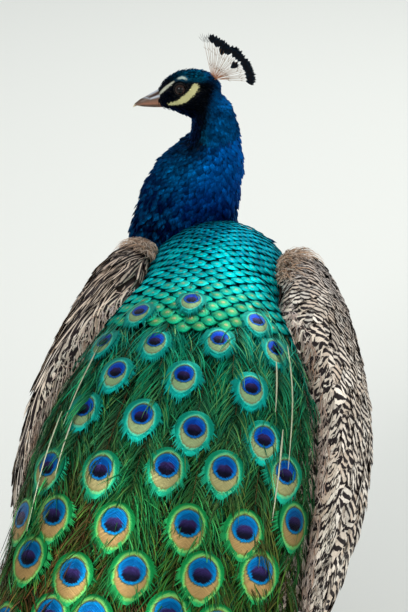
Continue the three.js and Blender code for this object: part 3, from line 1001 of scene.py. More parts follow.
@dataclass(frozen=True)
class BarbFinish(Finish):
    """Loose barbs and shafts, in the colours of their own points."""

    def paint(self, g: Graph) -> Look:
        """The tone with fine light and dark along the barb."""
        vane, tone = g.attribute("vane"), g.attribute("tone")
        across, along, chance = g.split(vane.outputs["Vector"])
        lanes = g.joined(g.math("MULTIPLY", along, 14.0), g.math("MULTIPLY", across, 1.2),
                         g.math("MULTIPLY", chance, 60.0))
        fine = g.noise(lanes, 1.0, 2.0, 0.6)
        shade = g.math("MULTIPLY_ADD", fine, 0.9, 0.55)
        colour = g.shaded(tone.outputs["Color"], shade)
        return Look(colour, self.roughness, self.metallic, fine)


@dataclass(frozen=True)
class BarredFinish(Finish):
    """Wing feathers: pale with dark wavy bars, darker towards the middle where the tone says so."""

    pale: Tone = Tone.CREAM
    dark: Tone = Tone.SOOT
    pitch: float = 7.0

    def paint(self, g: Graph) -> Look:
        """Bars over the pale ground; the tone tints the ground and its alpha is the share of dark."""
        vane, tone = g.attribute("vane"), g.attribute("tone")
        across, along, chance = g.split(vane.outputs["Vector"])
        bars = g.group(self.effects.bars, Vane=vane.outputs["Vector"], Pitch=self.pitch, Wave=0.34, Skew=0.2,
                       Dark=tone.outputs["Alpha"])
        lanes = g.joined(g.math("MULTIPLY", across, 0.12), g.math("MULTIPLY", along, 0.05), chance)
        barbs = g.group(self.effects.barbs, Vane=lanes, Count=30.0, Slant=0.5, Shaft=0.035)
        place = g.node("ShaderNodeTexCoord").outputs["Object"]
        ground = g.group(self.effects.fleck, Colour=tone.outputs["Color"], Other=Tone.BUFF.rgba,
                         Chance=chance, Amount=0.45, Place=place, Grain=70.0)
        colour = g.mix(bars.outputs["Bar"], ground.outputs[0], self.dark.rgba)
        shade = g.math("MULTIPLY_ADD", barbs.outputs["Streak"], 0.3, 0.86)
        colour = g.shaded(colour, shade)
        return Look(colour, self.roughness, self.metallic, barbs.outputs["Height"])


@dataclass(frozen=True)
class SkinFinish(Finish):
    """The skin under the coat: the coat's own tone, darker, with a fine pebbled surface."""

    def paint(self, g: Graph) -> Look:
        """Tone and pebbles."""
        tone = g.attribute("tone")
        place = g.node("ShaderNodeTexCoord").outputs["Object"]
        pebble = g.noise(place, 900.0, 2.0)
        blotch = g.noise(place, 70.0, 2.0)
        shade = g.math("MULTIPLY_ADD", blotch, 0.4, 0.42)
        colour = g.shaded(tone.outputs["Color"], shade)
        return Look(colour, self.roughness, self.metallic, pebble)


@dataclass(frozen=True)
class HornFinish(Finish):
    """Bill, claws, spurs, scutes and bare face: the points' own tone with growth lines and wear."""

    grain: float = 260.0
    lines: float = 0.5

    def paint(self, g: Graph) -> Look:
        """Tone with streaks along the piece and small stains."""
        vane, tone = g.attribute("vane"), g.attribute("tone")
        across, along, chance = g.split(vane.outputs["Vector"])
        place = g.node("ShaderNodeTexCoord").outputs["Object"]
        stain = g.noise(place, self.grain, 4.0, 0.6)
        lines = g.noise(g.joined(g.math("MULTIPLY", across, 7.0), along, chance), 3.0, 3.0)
        mixed = g.math("ADD", g.math("MULTIPLY", stain, 1 - self.lines),
                       g.math("MULTIPLY", lines, self.lines))
        shade = g.math("MULTIPLY_ADD", mixed, 0.7, 0.62)
        colour = g.shaded(tone.outputs["Color"], shade)
        rough = g.math("MULTIPLY_ADD", mixed, 0.2, self.roughness - 0.1)
        return Look(colour, rough, self.metallic, mixed)


@dataclass(frozen=True)
class EyeFinish(Finish):
    """A wet dark eye: pupil, brown iris and dark white, by the angle from the eye's axis."""

    pupil: float = 0.48
    iris: float = 0.78

    def paint(self, g: Graph) -> Look:
        """Rings by the angle, with rays in the iris."""
        vane = g.attribute("vane")
        turn, angle, _ = g.split(vane.outputs["Vector"])
        rays = g.noise(g.joined(g.math("MULTIPLY", turn, 22.0), g.math("MULTIPLY", angle, 2.0)), 1.0, 3.0)
        brown = g.mix(g.rise(rays, 0.3, 0.7), Tone.IRIS.rgba, full_tint(44, 24, 15))
        colour = g.mix(g.rise(angle, self.pupil - 0.03, self.pupil + 0.03), (0.004, 0.003, 0.003, 1.0), brown)
        colour = g.mix(g.rise(angle, self.iris - 0.06, self.iris + 0.03), colour, full_tint(14, 10, 9))
        return Look(colour, self.roughness)


# ---------------------------------------------------------------- skin and coat
NECK_LINE = (
    # the neck's middle line from under the skull to the breast
    (-15, 147, 608), (-16, 156, 578), (-30, 162, 542), (-47, 162, 500), (-51, 153, 460), (-46, 140, 426),
)
TRUNK_LINE = ((-12, 100, 392), (0, 50, 386), (2, -20, 386), (0, -90, 388), (0, -205, 388), (0, -330, 372))


@dataclass(frozen=True)
class Stripe:
    """A bare stripe of the face in side view: its ends from the eye's middle, its bow and half widths."""

    start: tuple[float, float]
    end: tuple[float, float]
    bow: float
    half: tuple[float, float, float]
    colour: tuple[int, int, int]

    def spots(self, eye: Sequence[float], count: int = 9) -> Array:
        """Places along the bowed stripe.

        Args:
            eye: How far ahead and up the eye's middle lies in the head's axes.
            count: How many places.

        Returns:
            How far ahead and up each place lies, and the half width there (count, 3).
        """
        share = np.linspace(0, 1, count)[:, None]
        run = np.subtract(self.end, self.start)
        aside = unit(np.array([run[1], -run[0]]))
        line = self.start + share * run + 4 * share * (1 - share) * self.bow * aside
        return np.hstack([line + eye, np.interp(share, [0, 0.5, 1], self.half)])


STRIPES = (
    # the brow from the bill to over the eye, the short one behind its end, and the cheek under the eye
    Stripe(start=(30, -12), end=(8, 9), bow=1.5, half=(1.2, 2.2, 1.4), colour=(206, 208, 186)),
    Stripe(start=(4, 12), end=(-7, 12), bow=1.5, half=(1.2, 2.2, 1.4), colour=(204, 222, 210)),
    Stripe(start=(15, -18), end=(-17, 4), bow=-4.0, half=(1.5, 4.0, 4.2), colour=(226, 220, 158)),
)


def outside(points: Array, line: Sequence[Sequence[float]]) -> Array:
    """The distance of each point from a stripe: a broken line with a half width at each of its knots."""
    knots = np.asarray(line, float)
    best = np.full(len(points), np.inf)
    for a, b in zip(knots[:-1], knots[1:]):
        run = b[:3] - a[:3]
        share = np.clip((points - a[:3]) @ run / np.sum(run**2), 0, 1)
        away = np.linalg.norm(points - a[:3] - share[:, None] * run, axis=1)
        best = np.minimum(best, away - a[3] - share * (b[3] - a[3]))
    return best


def averaged(values: Array, edges: Array, times: int) -> Array:
    """Average each vertex's values with its neighbours' a number of times."""
    flat = values.reshape(len(values), -1).astype(float)
    ends, others = np.concatenate([edges[:, 0], edges[:, 1]]), np.concatenate([edges[:, 1], edges[:, 0]])
    count = 1 + np.bincount(ends, minlength=len(flat))[:, None]
    for _ in range(times):
        sums = [np.bincount(ends, weights=column[others], minlength=len(flat)) for column in flat.T]
        flat = (flat + np.stack(sums, 1)) / count
    return flat.reshape(values.shape)


@dataclass
class Markings:
    """The colours of the flesh's feathers and where each kind of coat grows."""

    datum: Datum
    flesh: Solids

    def on_side(self, stripe: Stripe) -> Array:
        """A stripe's places on the right side of the head's solid, each with its half width (places, 4)."""
        ahead, up, half = stripe.spots(self.datum.eye_middle[1:]).T
        outer = np.stack([np.full(len(ahead), 40.0), ahead, up], -1)
        inward = self.datum.on_head((-1, 0, 0)) - self.datum.on_head((0, 0, 0))
        struck = self.datum.in_head(self.flesh.struck(self.datum.on_head(outer), inward))
        return np.stack([struck[:, 0], ahead, up, half], -1)

    def face(self, points: Array) -> Array:
        """The distance of each point from the face's three bare stripes (points, 3)."""
        head = self.datum.in_head(points)
        head[:, 0] = np.abs(head[:, 0])
        ragged = 0.5 * np.sin(head[:, 1] * 1.9) * np.cos(head[:, 2] * 1.6)
        away = np.stack([outside(head, self.on_side(stripe)) for stripe in STRIPES], 1)
        return away + ragged[:, None] * [0.5, 0.5, 1.7]

    def tone(self, points: Array, owner: Array) -> Array:
        """The coat's colour, with how far it drifts to the second colour as its last column.

        Args:
            points: Points of the frame.
            owner: The name of the solid each point lies on.

        Returns:
            Colours (points, 4).
        """
        p, head = self.datum.measure(points), self.datum.in_head(points)
        x, y, z = p.T
        side = x - np.interp(z, [430, 500, 560, 610], [-48, -47, -25, -15])
        tone = np.tile(Tone.COBALT.rgb, (len(p), 1))
        tone = blend(tone, Tone.PETROL.rgb * 0.6, ease(20, -25, side) * ease(490, 540, z) * 0.5)
        tone = blend(tone, Tone.ROYAL.rgb, ease(560, 500, z + 0.25 * side))
        tone = blend(tone, Tone.NAVY.rgb, ease(505, 440, z - 0.3 * side) * 0.9)
        shade = (1 - 0.55 * ease(10, -35, side) * ease(620, 590, z)) * (1 - 0.68 * ease(550, 490, z))
        tone = tone * shade[:, None] * (1 - np.array([0.0, 0.35, 0.0]) * ease(570, 500, z)[:, None])
        tone = blend(tone, tint(2, 60, 66), ease(96, 64, y) * ease(360, 420, z))
        tone = blend(tone, tint(5, 40, 44), ease(420, 330, z))
        tone = blend(tone, Tone.SOOT.rgb, ease(-60, -160, y) * ease(400, 340, z))
        drift = 0.45 + 0.4 * ease(10, -40, side)
        wander = 4 * np.sin(z * 0.31 + y * 0.17) + 3 * np.sin(z * 0.83 - y * 0.5)
        throat = ease(2, -12, side + wander) * ease(560, 590, z + wander) * ease(642, 636, z)
        tone = blend(tone, Tone.INK.rgb, throat)
        on_head = owner == "head"
        crown = blend(Tone.PETROL.rgb[None] * 0.9, Tone.INK.rgb, ease(8, 26, head[:, 1]) * 0.8)
        crown = blend(crown, Tone.COBALT.rgb * 0.8, ease(-8, -24, head[:, 1]) * 0.7)
        front = ease(-33, -18, head[:, 1] + 0.25 * head[:, 2])
        dark = ease(24, 17, head[:, 2]) * front
        crown = blend(crown, Tone.INK.rgb, dark)
        tone = blend(tone, crown, on_head)
        rings = np.sin(0.46 * z + 1.6 * np.sin(0.2 * y + 0.16 * x))
        mottle = rings * np.sin(0.36 * x - 0.3 * y + 2 * np.sin(0.15 * z))
        light = 0.9 * mottle + 0.5 * ease(-16, 12, side) - 0.25
        uneven = 1 + light * ease(556, 580, z) * ease(-6, -16, head[:, 1])
        tone = tone * np.where(throat > 0.5, 1.0, uneven)[:, None]
        drift = drift * (1 - 0.3 * on_head) * (1 - 0.85 * np.maximum(dark * on_head, throat))
        leg = np.isin(owner, ["thigh_left", "thigh_right"])
        tone[leg] = Tone.BUFF.rgb * 0.8
        vent = owner == "vent"
        tone[vent] = Tone.UMBER.rgb
        wing = np.char.startswith(owner.astype(str), "wing")
        tone[wing] = Tone.UMBER.rgb
        drift = np.where(leg | vent | wing, 0.15, drift)
        stripes = ease(0.35, -0.35, self.face(points)) * on_head[:, None]
        for share, stripe in zip(stripes.T, STRIPES):
            tone = blend(tone, tint(*stripe.colour), share)
        return np.concatenate([tone, drift[:, None]], axis=1)

    def covers(self, points: Array, normals: Array, owner: Array) -> dict[str, Array]:
        """Where each coat grows, from 0 to 1, by the coat's attribute name."""
        _, y, z = self.datum.measure(points).T
        head = self.datum.in_head(points)
        on_head = (owner == "head").astype(float)
        neck = np.isin(owner, ["neck_upper", "neck_lower"]).astype(float)
        under_mantle = ease(0.0, 0.25, normals[:, 2]) * ease(152, 144, y)
        trunk = (owner == "trunk") * (1 - under_mantle)
        leg = np.isin(owner, ["thigh_left", "thigh_right", "vent"]).astype(float)
        near_eye = np.hypot(head[:, 1] - 10.8, head[:, 2] - 10.5)
        edge = self.face(points).min(axis=1)
        face = on_head * ease(7.0, 8.5, near_eye) * ease(0.1, 0.4, edge)
        return {
            "cover_face": face,
            "cover_neck": neck,
            "cover_body": trunk,
            "cover_leg": leg,
            "girth": (0.62 + 0.38 * ease(610, 540, z) + 0.2 * ease(480, 420, z))
            * (1 - 0.5 * on_head * ease(4.0, 0.5, edge)) * (1 + 0.5 * on_head * ease(18, 26, head[:, 2]))
            * (1 + 0.9 * on_head * ease(-8, -16, head[:, 2]) * ease(30, 16, head[:, 1])),
        }


class Roof:
    """The train's underside and the slope beside its edge, which wing feathers keep beneath."""

    def __init__(self, patch: Patch) -> None:
        """Make a tree of the train's surface and keep its edges."""
        rows, cols = patch.rows, patch.cols
        r, c = np.meshgrid(np.arange(rows - 1), np.arange(cols - 1), indexing="ij")
        corner = (r * cols + c).ravel()
        quads = np.stack([corner, corner + 1, corner + cols + 1, corner + cols], -1)
        self.tree = BVHTree.FromPolygons(patch.grid.reshape(-1, 3).tolist(), quads.tolist())
        self.left, self.middle, self.right = (patch.grid[::-1, k] for k in (0, cols // 2, cols - 1))

    def height(self, points: Array) -> Array:
        """The height of the train's surface over or under each point, or none (nan) beside it."""
        flat = points.reshape(-1, 3)
        hits = [self.tree.ray_cast((x, y, z + 0.5), (0, 0, -1))[0] for x, y, z in flat.tolist()]
        return np.array([np.nan if h is None else h.z for h in hits]).reshape(points.shape[:-1])

    def beside(self, points: Array) -> tuple[Array, Array]:
        """How far each point stands out past the train's edge, and the edge's height there, in metres."""
        x, y = points[..., 0], points[..., 1]
        axis = np.interp(y, self.middle[:, 1], self.middle[:, 0])
        far, high = (
            np.where(x > axis, np.interp(y, self.right[:, 1], self.right[:, k]),
                     np.interp(y, self.left[:, 1], self.left[:, k]))
            for k in (0, 2)
        )
        return np.abs(x - axis) - np.abs(far - axis), high

    def level(self, points: Array) -> Array:
        """The height under which each point belongs."""
        out, edge = self.beside(points)
        over = self.height(points)
        ahead = np.maximum(points[..., 1] - self.right[-1, 1] + 0.03, 0)
        slope = edge + 0.002 + 1.1 * np.maximum(out, 0) + 2 * ahead
        return np.where(np.isnan(over), slope, over - 0.024 * ease(0.0, 0.03, -out))

    def tucked(self, points: Array, gap: float) -> Array:
        """Press the points that stand too high down under the train and its slope."""
        level = self.level(points) - gap
        points[..., 2] = np.minimum(points[..., 2], level)
        return points


@dataclass
class Skin:
    """One seamless skin, a coat's depth inside the frame's flesh."""

    datum: Datum
    nodes: dict[str, bpy.types.Object]
    effects: Effects
    roof: Roof
    voxel: float = 3.5
    depths: dict[str, float] = field(
        default_factory=lambda: {
            "head": 1.2, "neck_upper": 3.0, "neck_lower": 5.0, "trunk": 7.0, "vent": 4.0,
            "thigh_left": 4.0, "thigh_right": 4.0, "wing_left": 3.0, "wing_right": 3.0,
        }
    )

    def joined(self) -> bpy.types.Mesh:
        """Merged copies of the flesh nodes, each grown a little so that they run into one another."""
        whole = bmesh.new()
        for name in self.depths:
            part = bmesh.new()
            part.from_mesh(self.nodes[name].data)
            bmesh.ops.remove_doubles(part, verts=part.verts, dist=1e-5)
            for vert in part.verts:
                vert.co += vert.normal * 0.6 * MM
            copy = bpy.data.meshes.new("part")
            part.to_mesh(copy)
            part.free()
            whole.from_mesh(copy)
            bpy.data.meshes.remove(copy)
        mesh = bpy.data.meshes.new("flesh")
        whole.to_mesh(mesh)
        whole.free()
        return mesh

    def remeshed(self) -> bpy.types.Mesh:
        """The joined flesh as one closed mesh of even squares."""
        flesh = bpy.data.objects.new("flesh", self.joined())
        bpy.context.scene.collection.objects.link(flesh)
        remesh = flesh.modifiers.new("Remesh", "REMESH")
        remesh.mode = "VOXEL"
        remesh.voxel_size = self.voxel * MM
        graph = bpy.context.evaluated_depsgraph_get()
        mesh = bpy.data.meshes.new_from_object(flesh.evaluated_get(graph), depsgraph=graph)
        bpy.data.objects.remove(flesh)
        mesh.name = "skin"
        self.refine_face(mesh)
        return mesh

    def refine_face(self, mesh: bpy.types.Mesh) -> None:
        """Divide the squares of the face so that its stripes come out crisp."""
        edit = bmesh.new()
        edit.from_mesh(mesh)
        x, y, z = self.datum.in_head([face.calc_center_median() for face in edit.faces]).T
        near = (np.abs(x) < 30) & (y > -18) & (y < 45) & (z > -14) & (z < 32)
        edges = {edge for face, inside in zip(edit.faces, near) if inside for edge in face.edges}
        bmesh.ops.subdivide_edges(edit, edges=list(edges), cuts=2, use_grid_fill=True)
        edit.to_mesh(mesh)
        edit.free()

    def lie(self, points: Array, normals: Array, owner: Array, edges: Array) -> Array:
        """The direction in which feathers lie at each vertex, along the body from bill to tail."""
        ahead = self.datum.on_head([(0, 40, -6), (0, 14, 0), (0, -12, 3)])
        line = np.concatenate([ahead, self.datum.place(NECK_LINE), self.datum.place(TRUNK_LINE)])
        path = Spline(line / MM)
        marks = path.evenly(160) * MM
        ways = unit(np.gradient(marks, axis=0))
        nearest = np.empty(len(points), int)
        for start in range(0, len(points), 4000):
            block = points[start : start + 4000]
            nearest[start : start + 4000] = np.argmin(((block[:, None] - marks) ** 2).sum(-1), axis=1)
        way = ways[nearest]
        leg = np.isin(owner, ["thigh_left", "thigh_right"])
        way[leg] = unit(np.array([0.0, -0.3, -1.0]))
        way = averaged(way, edges, 10)
        way = way - normals * np.sum(way * normals, axis=1, keepdims=True)
        return unit(averaged(unit(way), edges, 6))

    def build(self) -> bpy.types.Object:
        """Make the skin with its tone, lie and covers stored on it.

        Returns:
            The skin, which stands for the flesh nodes.
        """
        mesh = self.remeshed()
        flesh = Solids(list(self.depths), self.nodes)
        points = read_vectors(mesh.vertices, "co")
        edges = np.empty(len(mesh.edges) * 2, np.int32)
        mesh.edges.foreach_get("vertices", edges)
        edges = edges.reshape(-1, 2)
        _, index = flesh.nearest(points)
        owner = np.array(flesh.names)[index]
        depth = averaged(np.array([self.depths[name] for name in flesh.names])[index], edges, 14)
        points = averaged(points, edges, 3)
        mesh.vertices.foreach_set("co", points.astype(np.float32).ravel())
        mesh.update()
        normals = read_vectors(mesh.vertex_normals, "vector")
        points = points - normals * depth[:, None] * MM
        beneath = np.isin(owner, ["wing_left", "wing_right"])
        points[beneath] = self.roof.tucked(points[beneath], 0.006)
        mesh.vertices.foreach_set("co", points.astype(np.float32).ravel())
        mesh.polygons.foreach_set("use_smooth", np.ones(len(mesh.polygons), bool))
        mesh.update()
        marks = Markings(self.datum, flesh)
        write_attribute(mesh, "tone", "FLOAT_COLOR", "color", marks.tone(points, owner))
        write_attribute(mesh, "lie", "FLOAT_VECTOR", "vector", self.lie(points, normals, owner, edges))
        for name, values in marks.covers(points, normals, owner).items():
            write_attribute(mesh, name, "FLOAT", "value", averaged(values, edges, 1))
        mesh.materials.clear()
        mesh.materials.append(SkinFinish("Skin", self.effects, roughness=0.7, bump=0.4).material())
        skin = placed("skin", mesh, "neck_plumage")
        self.unwrap(skin)
        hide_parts(*self.depths)
        return skin

    @staticmethod
    def unwrap(skin: bpy.types.Object) -> None:
        """Unwrap the skin by its own shape as the bake map."""
        mesh = skin.data
        mesh.uv_layers.active = mesh.uv_layers.new(name="OFBake")
        bpy.context.view_layer.objects.active = skin
        skin.select_set(True)
        bpy.ops.object.mode_set(mode="EDIT")
        bpy.ops.mesh.select_all(action="SELECT")
        bpy.ops.uv.smart_project(angle_limit=math.radians(66), island_margin=0.004)
        bpy.ops.object.mode_set(mode="OBJECT")
        skin.select_set(False)


def read_vectors(items: bpy.types.bpy_prop_collection, member: str, size: int = 3) -> Array:
    """Read one vector for each item."""
    values = np.empty(len(items) * size, np.float32)
    items.foreach_get(member, values)
    return values.reshape(-1, size).astype(float)


class CoatTree:
    """The Geometry Nodes tree that sets one small feather all over a skin, along its lie."""

    INPUTS = {
        "Feather": "NodeSocketObject",
        "Cover": "NodeSocketString",
        "Spacing": "NodeSocketFloat",
        "Size": "NodeSocketFloat",
        "Rise": "NodeSocketFloat",
        "Ruffle": "NodeSocketFloat",
        "Seed": "NodeSocketInt",
        "Finish": "NodeSocketMaterial",
    }

    def __init__(self) -> None:
        """Build the tree."""
        self.tree = bpy.data.node_groups.new("Feather coat", "GeometryNodeTree")
        self.tree.interface.new_socket("Geometry", in_out="INPUT", socket_type="NodeSocketGeometry")
        self.ids = {
            name: self.tree.interface.new_socket(name, in_out="INPUT", socket_type=kind).identifier
            for name, kind in self.INPUTS.items()
        }
        self.tree.interface.new_socket("Geometry", in_out="OUTPUT", socket_type="NodeSocketGeometry")
        self.g = Graph(self.tree)
        self.given = self.g.node("NodeGroupInput").outputs
        self.wire()

    def named(self, name: object, kind: str) -> Socket:
        """Read a named attribute."""
        made = self.g.node("GeometryNodeInputNamedAttribute", data_type=kind)
        self.g.feed(made.inputs["Name"], name)
        return made.outputs["Attribute"]

    def chance(self, low: float, high: float, offset: int) -> Socket:
        """A random number for each feather."""
        made = self.g.node("FunctionNodeRandomValue", data_type="FLOAT")
        floats = [s for s in made.inputs if s.name in ("Min", "Max") and s.type == "VALUE"]
        floats[0].default_value, floats[1].default_value = low, high
        self.g.feed(made.inputs["Seed"], self.g.math("ADD", self.given["Seed"], float(offset)))
        return next(s for s in made.outputs if s.type == "VALUE")

    def wire(self) -> None:
        """Points on the skin, turned to its lie, become feathers and then plain mesh."""
        g, given = self.g, self.given
        spread = g.node("GeometryNodeDistributePointsOnFaces", distribute_method="POISSON")
        g.feed(spread.inputs["Mesh"], given["Geometry"])
        g.feed(spread.inputs["Distance Min"], given["Spacing"])
        square = g.math("MULTIPLY", given["Spacing"], given["Spacing"])
        g.feed(spread.inputs["Density Max"], g.math("DIVIDE", 1.6, square))
        g.feed(spread.inputs["Density Factor"], self.named(given["Cover"], "FLOAT"))
        g.feed(spread.inputs["Seed"], given["Seed"])
        store = g.node("GeometryNodeStoreNamedAttribute", data_type="FLOAT", domain="POINT")
        store.inputs["Name"].default_value = "chance"
        g.feed(store.inputs["Geometry"], spread.outputs["Points"])
        g.feed(store.inputs["Value"], self.chance(0.0, 1.0, 1))
        upright = g.node("FunctionNodeAlignRotationToVector", axis="Z")
        g.feed(upright.inputs["Vector"], spread.outputs["Normal"])
        along = g.node("FunctionNodeAlignRotationToVector", axis="Y", pivot_axis="Z")
        g.feed(along.inputs["Rotation"], upright.outputs[0])
        g.feed(along.inputs["Vector"], self.named("lie", "FLOAT_VECTOR"))
        ruffle = g.math("MULTIPLY", self.chance(-1.0, 1.0, 2), given["Ruffle"])
        rise = g.math("ADD", given["Rise"], g.math("MULTIPLY", self.chance(-0.4, 0.4, 3), given["Ruffle"]))
        euler = g.node("FunctionNodeEulerToRotation")
        roll = g.math("MULTIPLY", self.chance(-0.6, 0.6, 5), given["Ruffle"])
        g.feed(euler.inputs[0], g.joined(rise, roll, ruffle))
        tilt = g.node("FunctionNodeRotateRotation", rotation_space="LOCAL")
        g.feed(tilt.inputs[0], along.outputs[0])
        g.feed(tilt.inputs[1], euler.outputs[0])
        girth = g.math("MULTIPLY", self.named("girth", "FLOAT"), self.chance(0.85, 1.18, 4))
        size = g.math("MULTIPLY", girth, given["Size"])
        feather = g.node("GeometryNodeObjectInfo")
        g.feed(feather.inputs["Object"], given["Feather"])
        setting = g.node("GeometryNodeInstanceOnPoints")
        g.feed(setting.inputs["Points"], store.outputs[0])
        g.feed(setting.inputs["Instance"], feather.outputs["Geometry"])
        g.feed(setting.inputs["Rotation"], tilt.outputs[0])
        g.feed(setting.inputs["Scale"], g.joined(size, size, size))
        real = g.node("GeometryNodeRealizeInstances")
        g.feed(real.inputs[0], setting.outputs[0])
        dressed = g.node("GeometryNodeSetMaterial")
        g.feed(dressed.inputs["Geometry"], real.outputs[0])
        g.feed(dressed.inputs["Material"], given["Finish"])
        end = g.node("NodeGroupOutput")
        g.feed(end.inputs[0], dressed.outputs[0])


@dataclass(frozen=True)
class Cut:
    """The outline of a small contour feather, as shares of its length."""

    rows: int = 4
    cols: int = 5
    width: float = 0.62
    arch: float = 0.16
    cup: float = 0.35
    frayed: float = 0.10

    def points(self) -> tuple[Array, Array]:
        """The feather's points (1, rows, cols, 3) along +Y, its face to +Z, and its pattern coordinates."""
        v = np.linspace(0, 1, self.rows)
        spine = np.stack([np.zeros_like(v), v, self.arch * v * (1.15 - v)], -1)[None]
        half = self.width / 2 * np.interp(v, [0, 0.35, 0.7, 0.88, 1], [0.35, 0.85, 1.0, 0.8, 0.42])[None]
        lag = (0.05 + 0.16 * v**2)[None]
        grid = ribbon(spine, np.array([[[0.0, 0.0, 1.0]]]), half, self.cols, self.cup, lag)
        grid[0, -1, :, 1] += self.frayed * np.where(np.arange(self.cols) % 2 == 0, 0.4, -1.0)
        u = np.linspace(-1, 1, self.cols)
        vane = packed(u[None], v[:, None], 0.0)[None]
        return grid, vane


@dataclass
class Coat:
    """One kind of small feather over part of the skin."""

    name: str
    slot: str
    finish: Finish
    cover: str
    spacing: float
    size: float
    rise: float
    ruffle: float = 0.12
    seed: int = 1
    cut: Cut = Cut()

    def build(self, skin: bpy.types.Object, tree: CoatTree) -> bpy.types.Object:
        """Set the coat over the skin and turn it into a plain mesh.

        Args:
            skin: The skin, with its lie and covers.
            tree: The Geometry Nodes tree.

        Returns:
            The coat piece.
        """
        grid, vane = self.cut.points()
        pattern = Sheets()
        pattern.add(grid, vane, np.ones((1, 4)), np.zeros((1, 1, 1, 2)))
        feather = pattern.piece(f"{self.name}_feather", self.slot, [])
        for layer in ("tone", "OFBake"):
            attribute = feather.data.attributes.get(layer)
            feather.data.attributes.remove(attribute)
        host = bpy.data.objects.new(f"{self.name}_host", skin.data.copy())
        bpy.context.scene.collection.objects.link(host)
        setter = host.modifiers.new("Coat", "NODES")
        setter.node_group = tree.tree
        values = {
            "Feather": feather, "Cover": self.cover, "Spacing": self.spacing * MM, "Size": self.size * MM,
            "Rise": self.rise, "Ruffle": self.ruffle, "Seed": self.seed, "Finish": self.finish.material(),
        }
        for key, value in values.items():
            setter[tree.ids[key]] = value
        graph = bpy.context.evaluated_depsgraph_get()
        mesh = bpy.data.meshes.new_from_object(host.evaluated_get(graph), depsgraph=graph)
        bpy.data.objects.remove(host)
        bpy.data.objects.remove(feather)
        self.settle(mesh)
        return placed(self.name, mesh, self.slot)

    def settle(self, mesh: bpy.types.Mesh) -> None:
        """Give each feather its chance number and its small square of the bake map."""
        vane = read_vectors(mesh.attributes["vane"].data, "vector")
        chance = np.empty(len(mesh.vertices), np.float32)
        mesh.attributes["chance"].data.foreach_get("value", chance)
        root = read_vectors(mesh.attributes["OFBake"].data, "vector", 2)
        local = vane[:, :2] * [0.5, 1.0] - [0.0, 0.5]
        vane[:, 2] = chance
        mesh.attributes["vane"].data.foreach_set("vector", vane.astype(np.float32).ravel())
        for attribute in [a.name for a in mesh.attributes if a.name in ("OFBake", "lie", "girth", "chance")]:
            mesh.attributes.remove(mesh.attributes[attribute])
        for attribute in [a.name for a in mesh.attributes if a.name.startswith("cover_")]:
            mesh.attributes.remove(mesh.attributes[attribute])
        corners = np.empty(len(mesh.loops), np.int32)
        mesh.loops.foreach_get("vertex_index", corners)
        write_bake_map(mesh, np.clip(root + 0.003 * local, 0, 1)[corners])
        mesh.polygons.foreach_set("use_smooth", np.ones(len(mesh.polygons), bool))
        mesh.update()


@dataclass
class Plumage:
    """The contour coats of the head, neck, body and legs."""

    datum: Datum
    effects: Effects

    def coats(self) -> list[Coat]:
        """The coats from the face down."""
        fx = self.effects
        gloss = {"metallic": 0.9, "roughness": 0.44, "bump": 0.5, "edge": (0.15, 0.55, 1.0)}
        return [
            Coat("coat_face", "neck_plumage",
                 PlumageFinish("Face feathers", fx, **gloss, other=Tone.INK, grain=230.0,
                               drift=1.7), "cover_face",
                 spacing=1.45, size=7.0, rise=0.26, ruffle=0.4, seed=3, cut=Cut(rows=3, cols=3, width=0.5)),
            Coat("coat_neck", "neck_plumage",
                 PlumageFinish("Neck feathers", fx, **gloss, other=Tone.LAPIS, drift=0.4), "cover_neck",
                 spacing=3.5, size=13.0, rise=0.2, ruffle=0.34, seed=5),
            Coat("coat_body", "neck_plumage", PlumageFinish("Body feathers", fx, **gloss), "cover_body",
                 spacing=7.5, size=25.0, rise=0.17, ruffle=0.2, seed=7, cut=Cut(rows=6)),
            Coat("coat_leg", "down",
                 PlumageFinish("Leg down", fx, roughness=0.8, other=Tone.UMBER, count=8.0),
                 "cover_leg", spacing=5.5, size=19.0, rise=0.25, ruffle=0.35, seed=9, cut=Cut(frayed=0.2)),
        ]

    def build(self, skin: bpy.types.Object) -> None:
        """Make each coat."""
        tree = CoatTree()
        for coat in self.coats():
            coat.build(skin, tree)


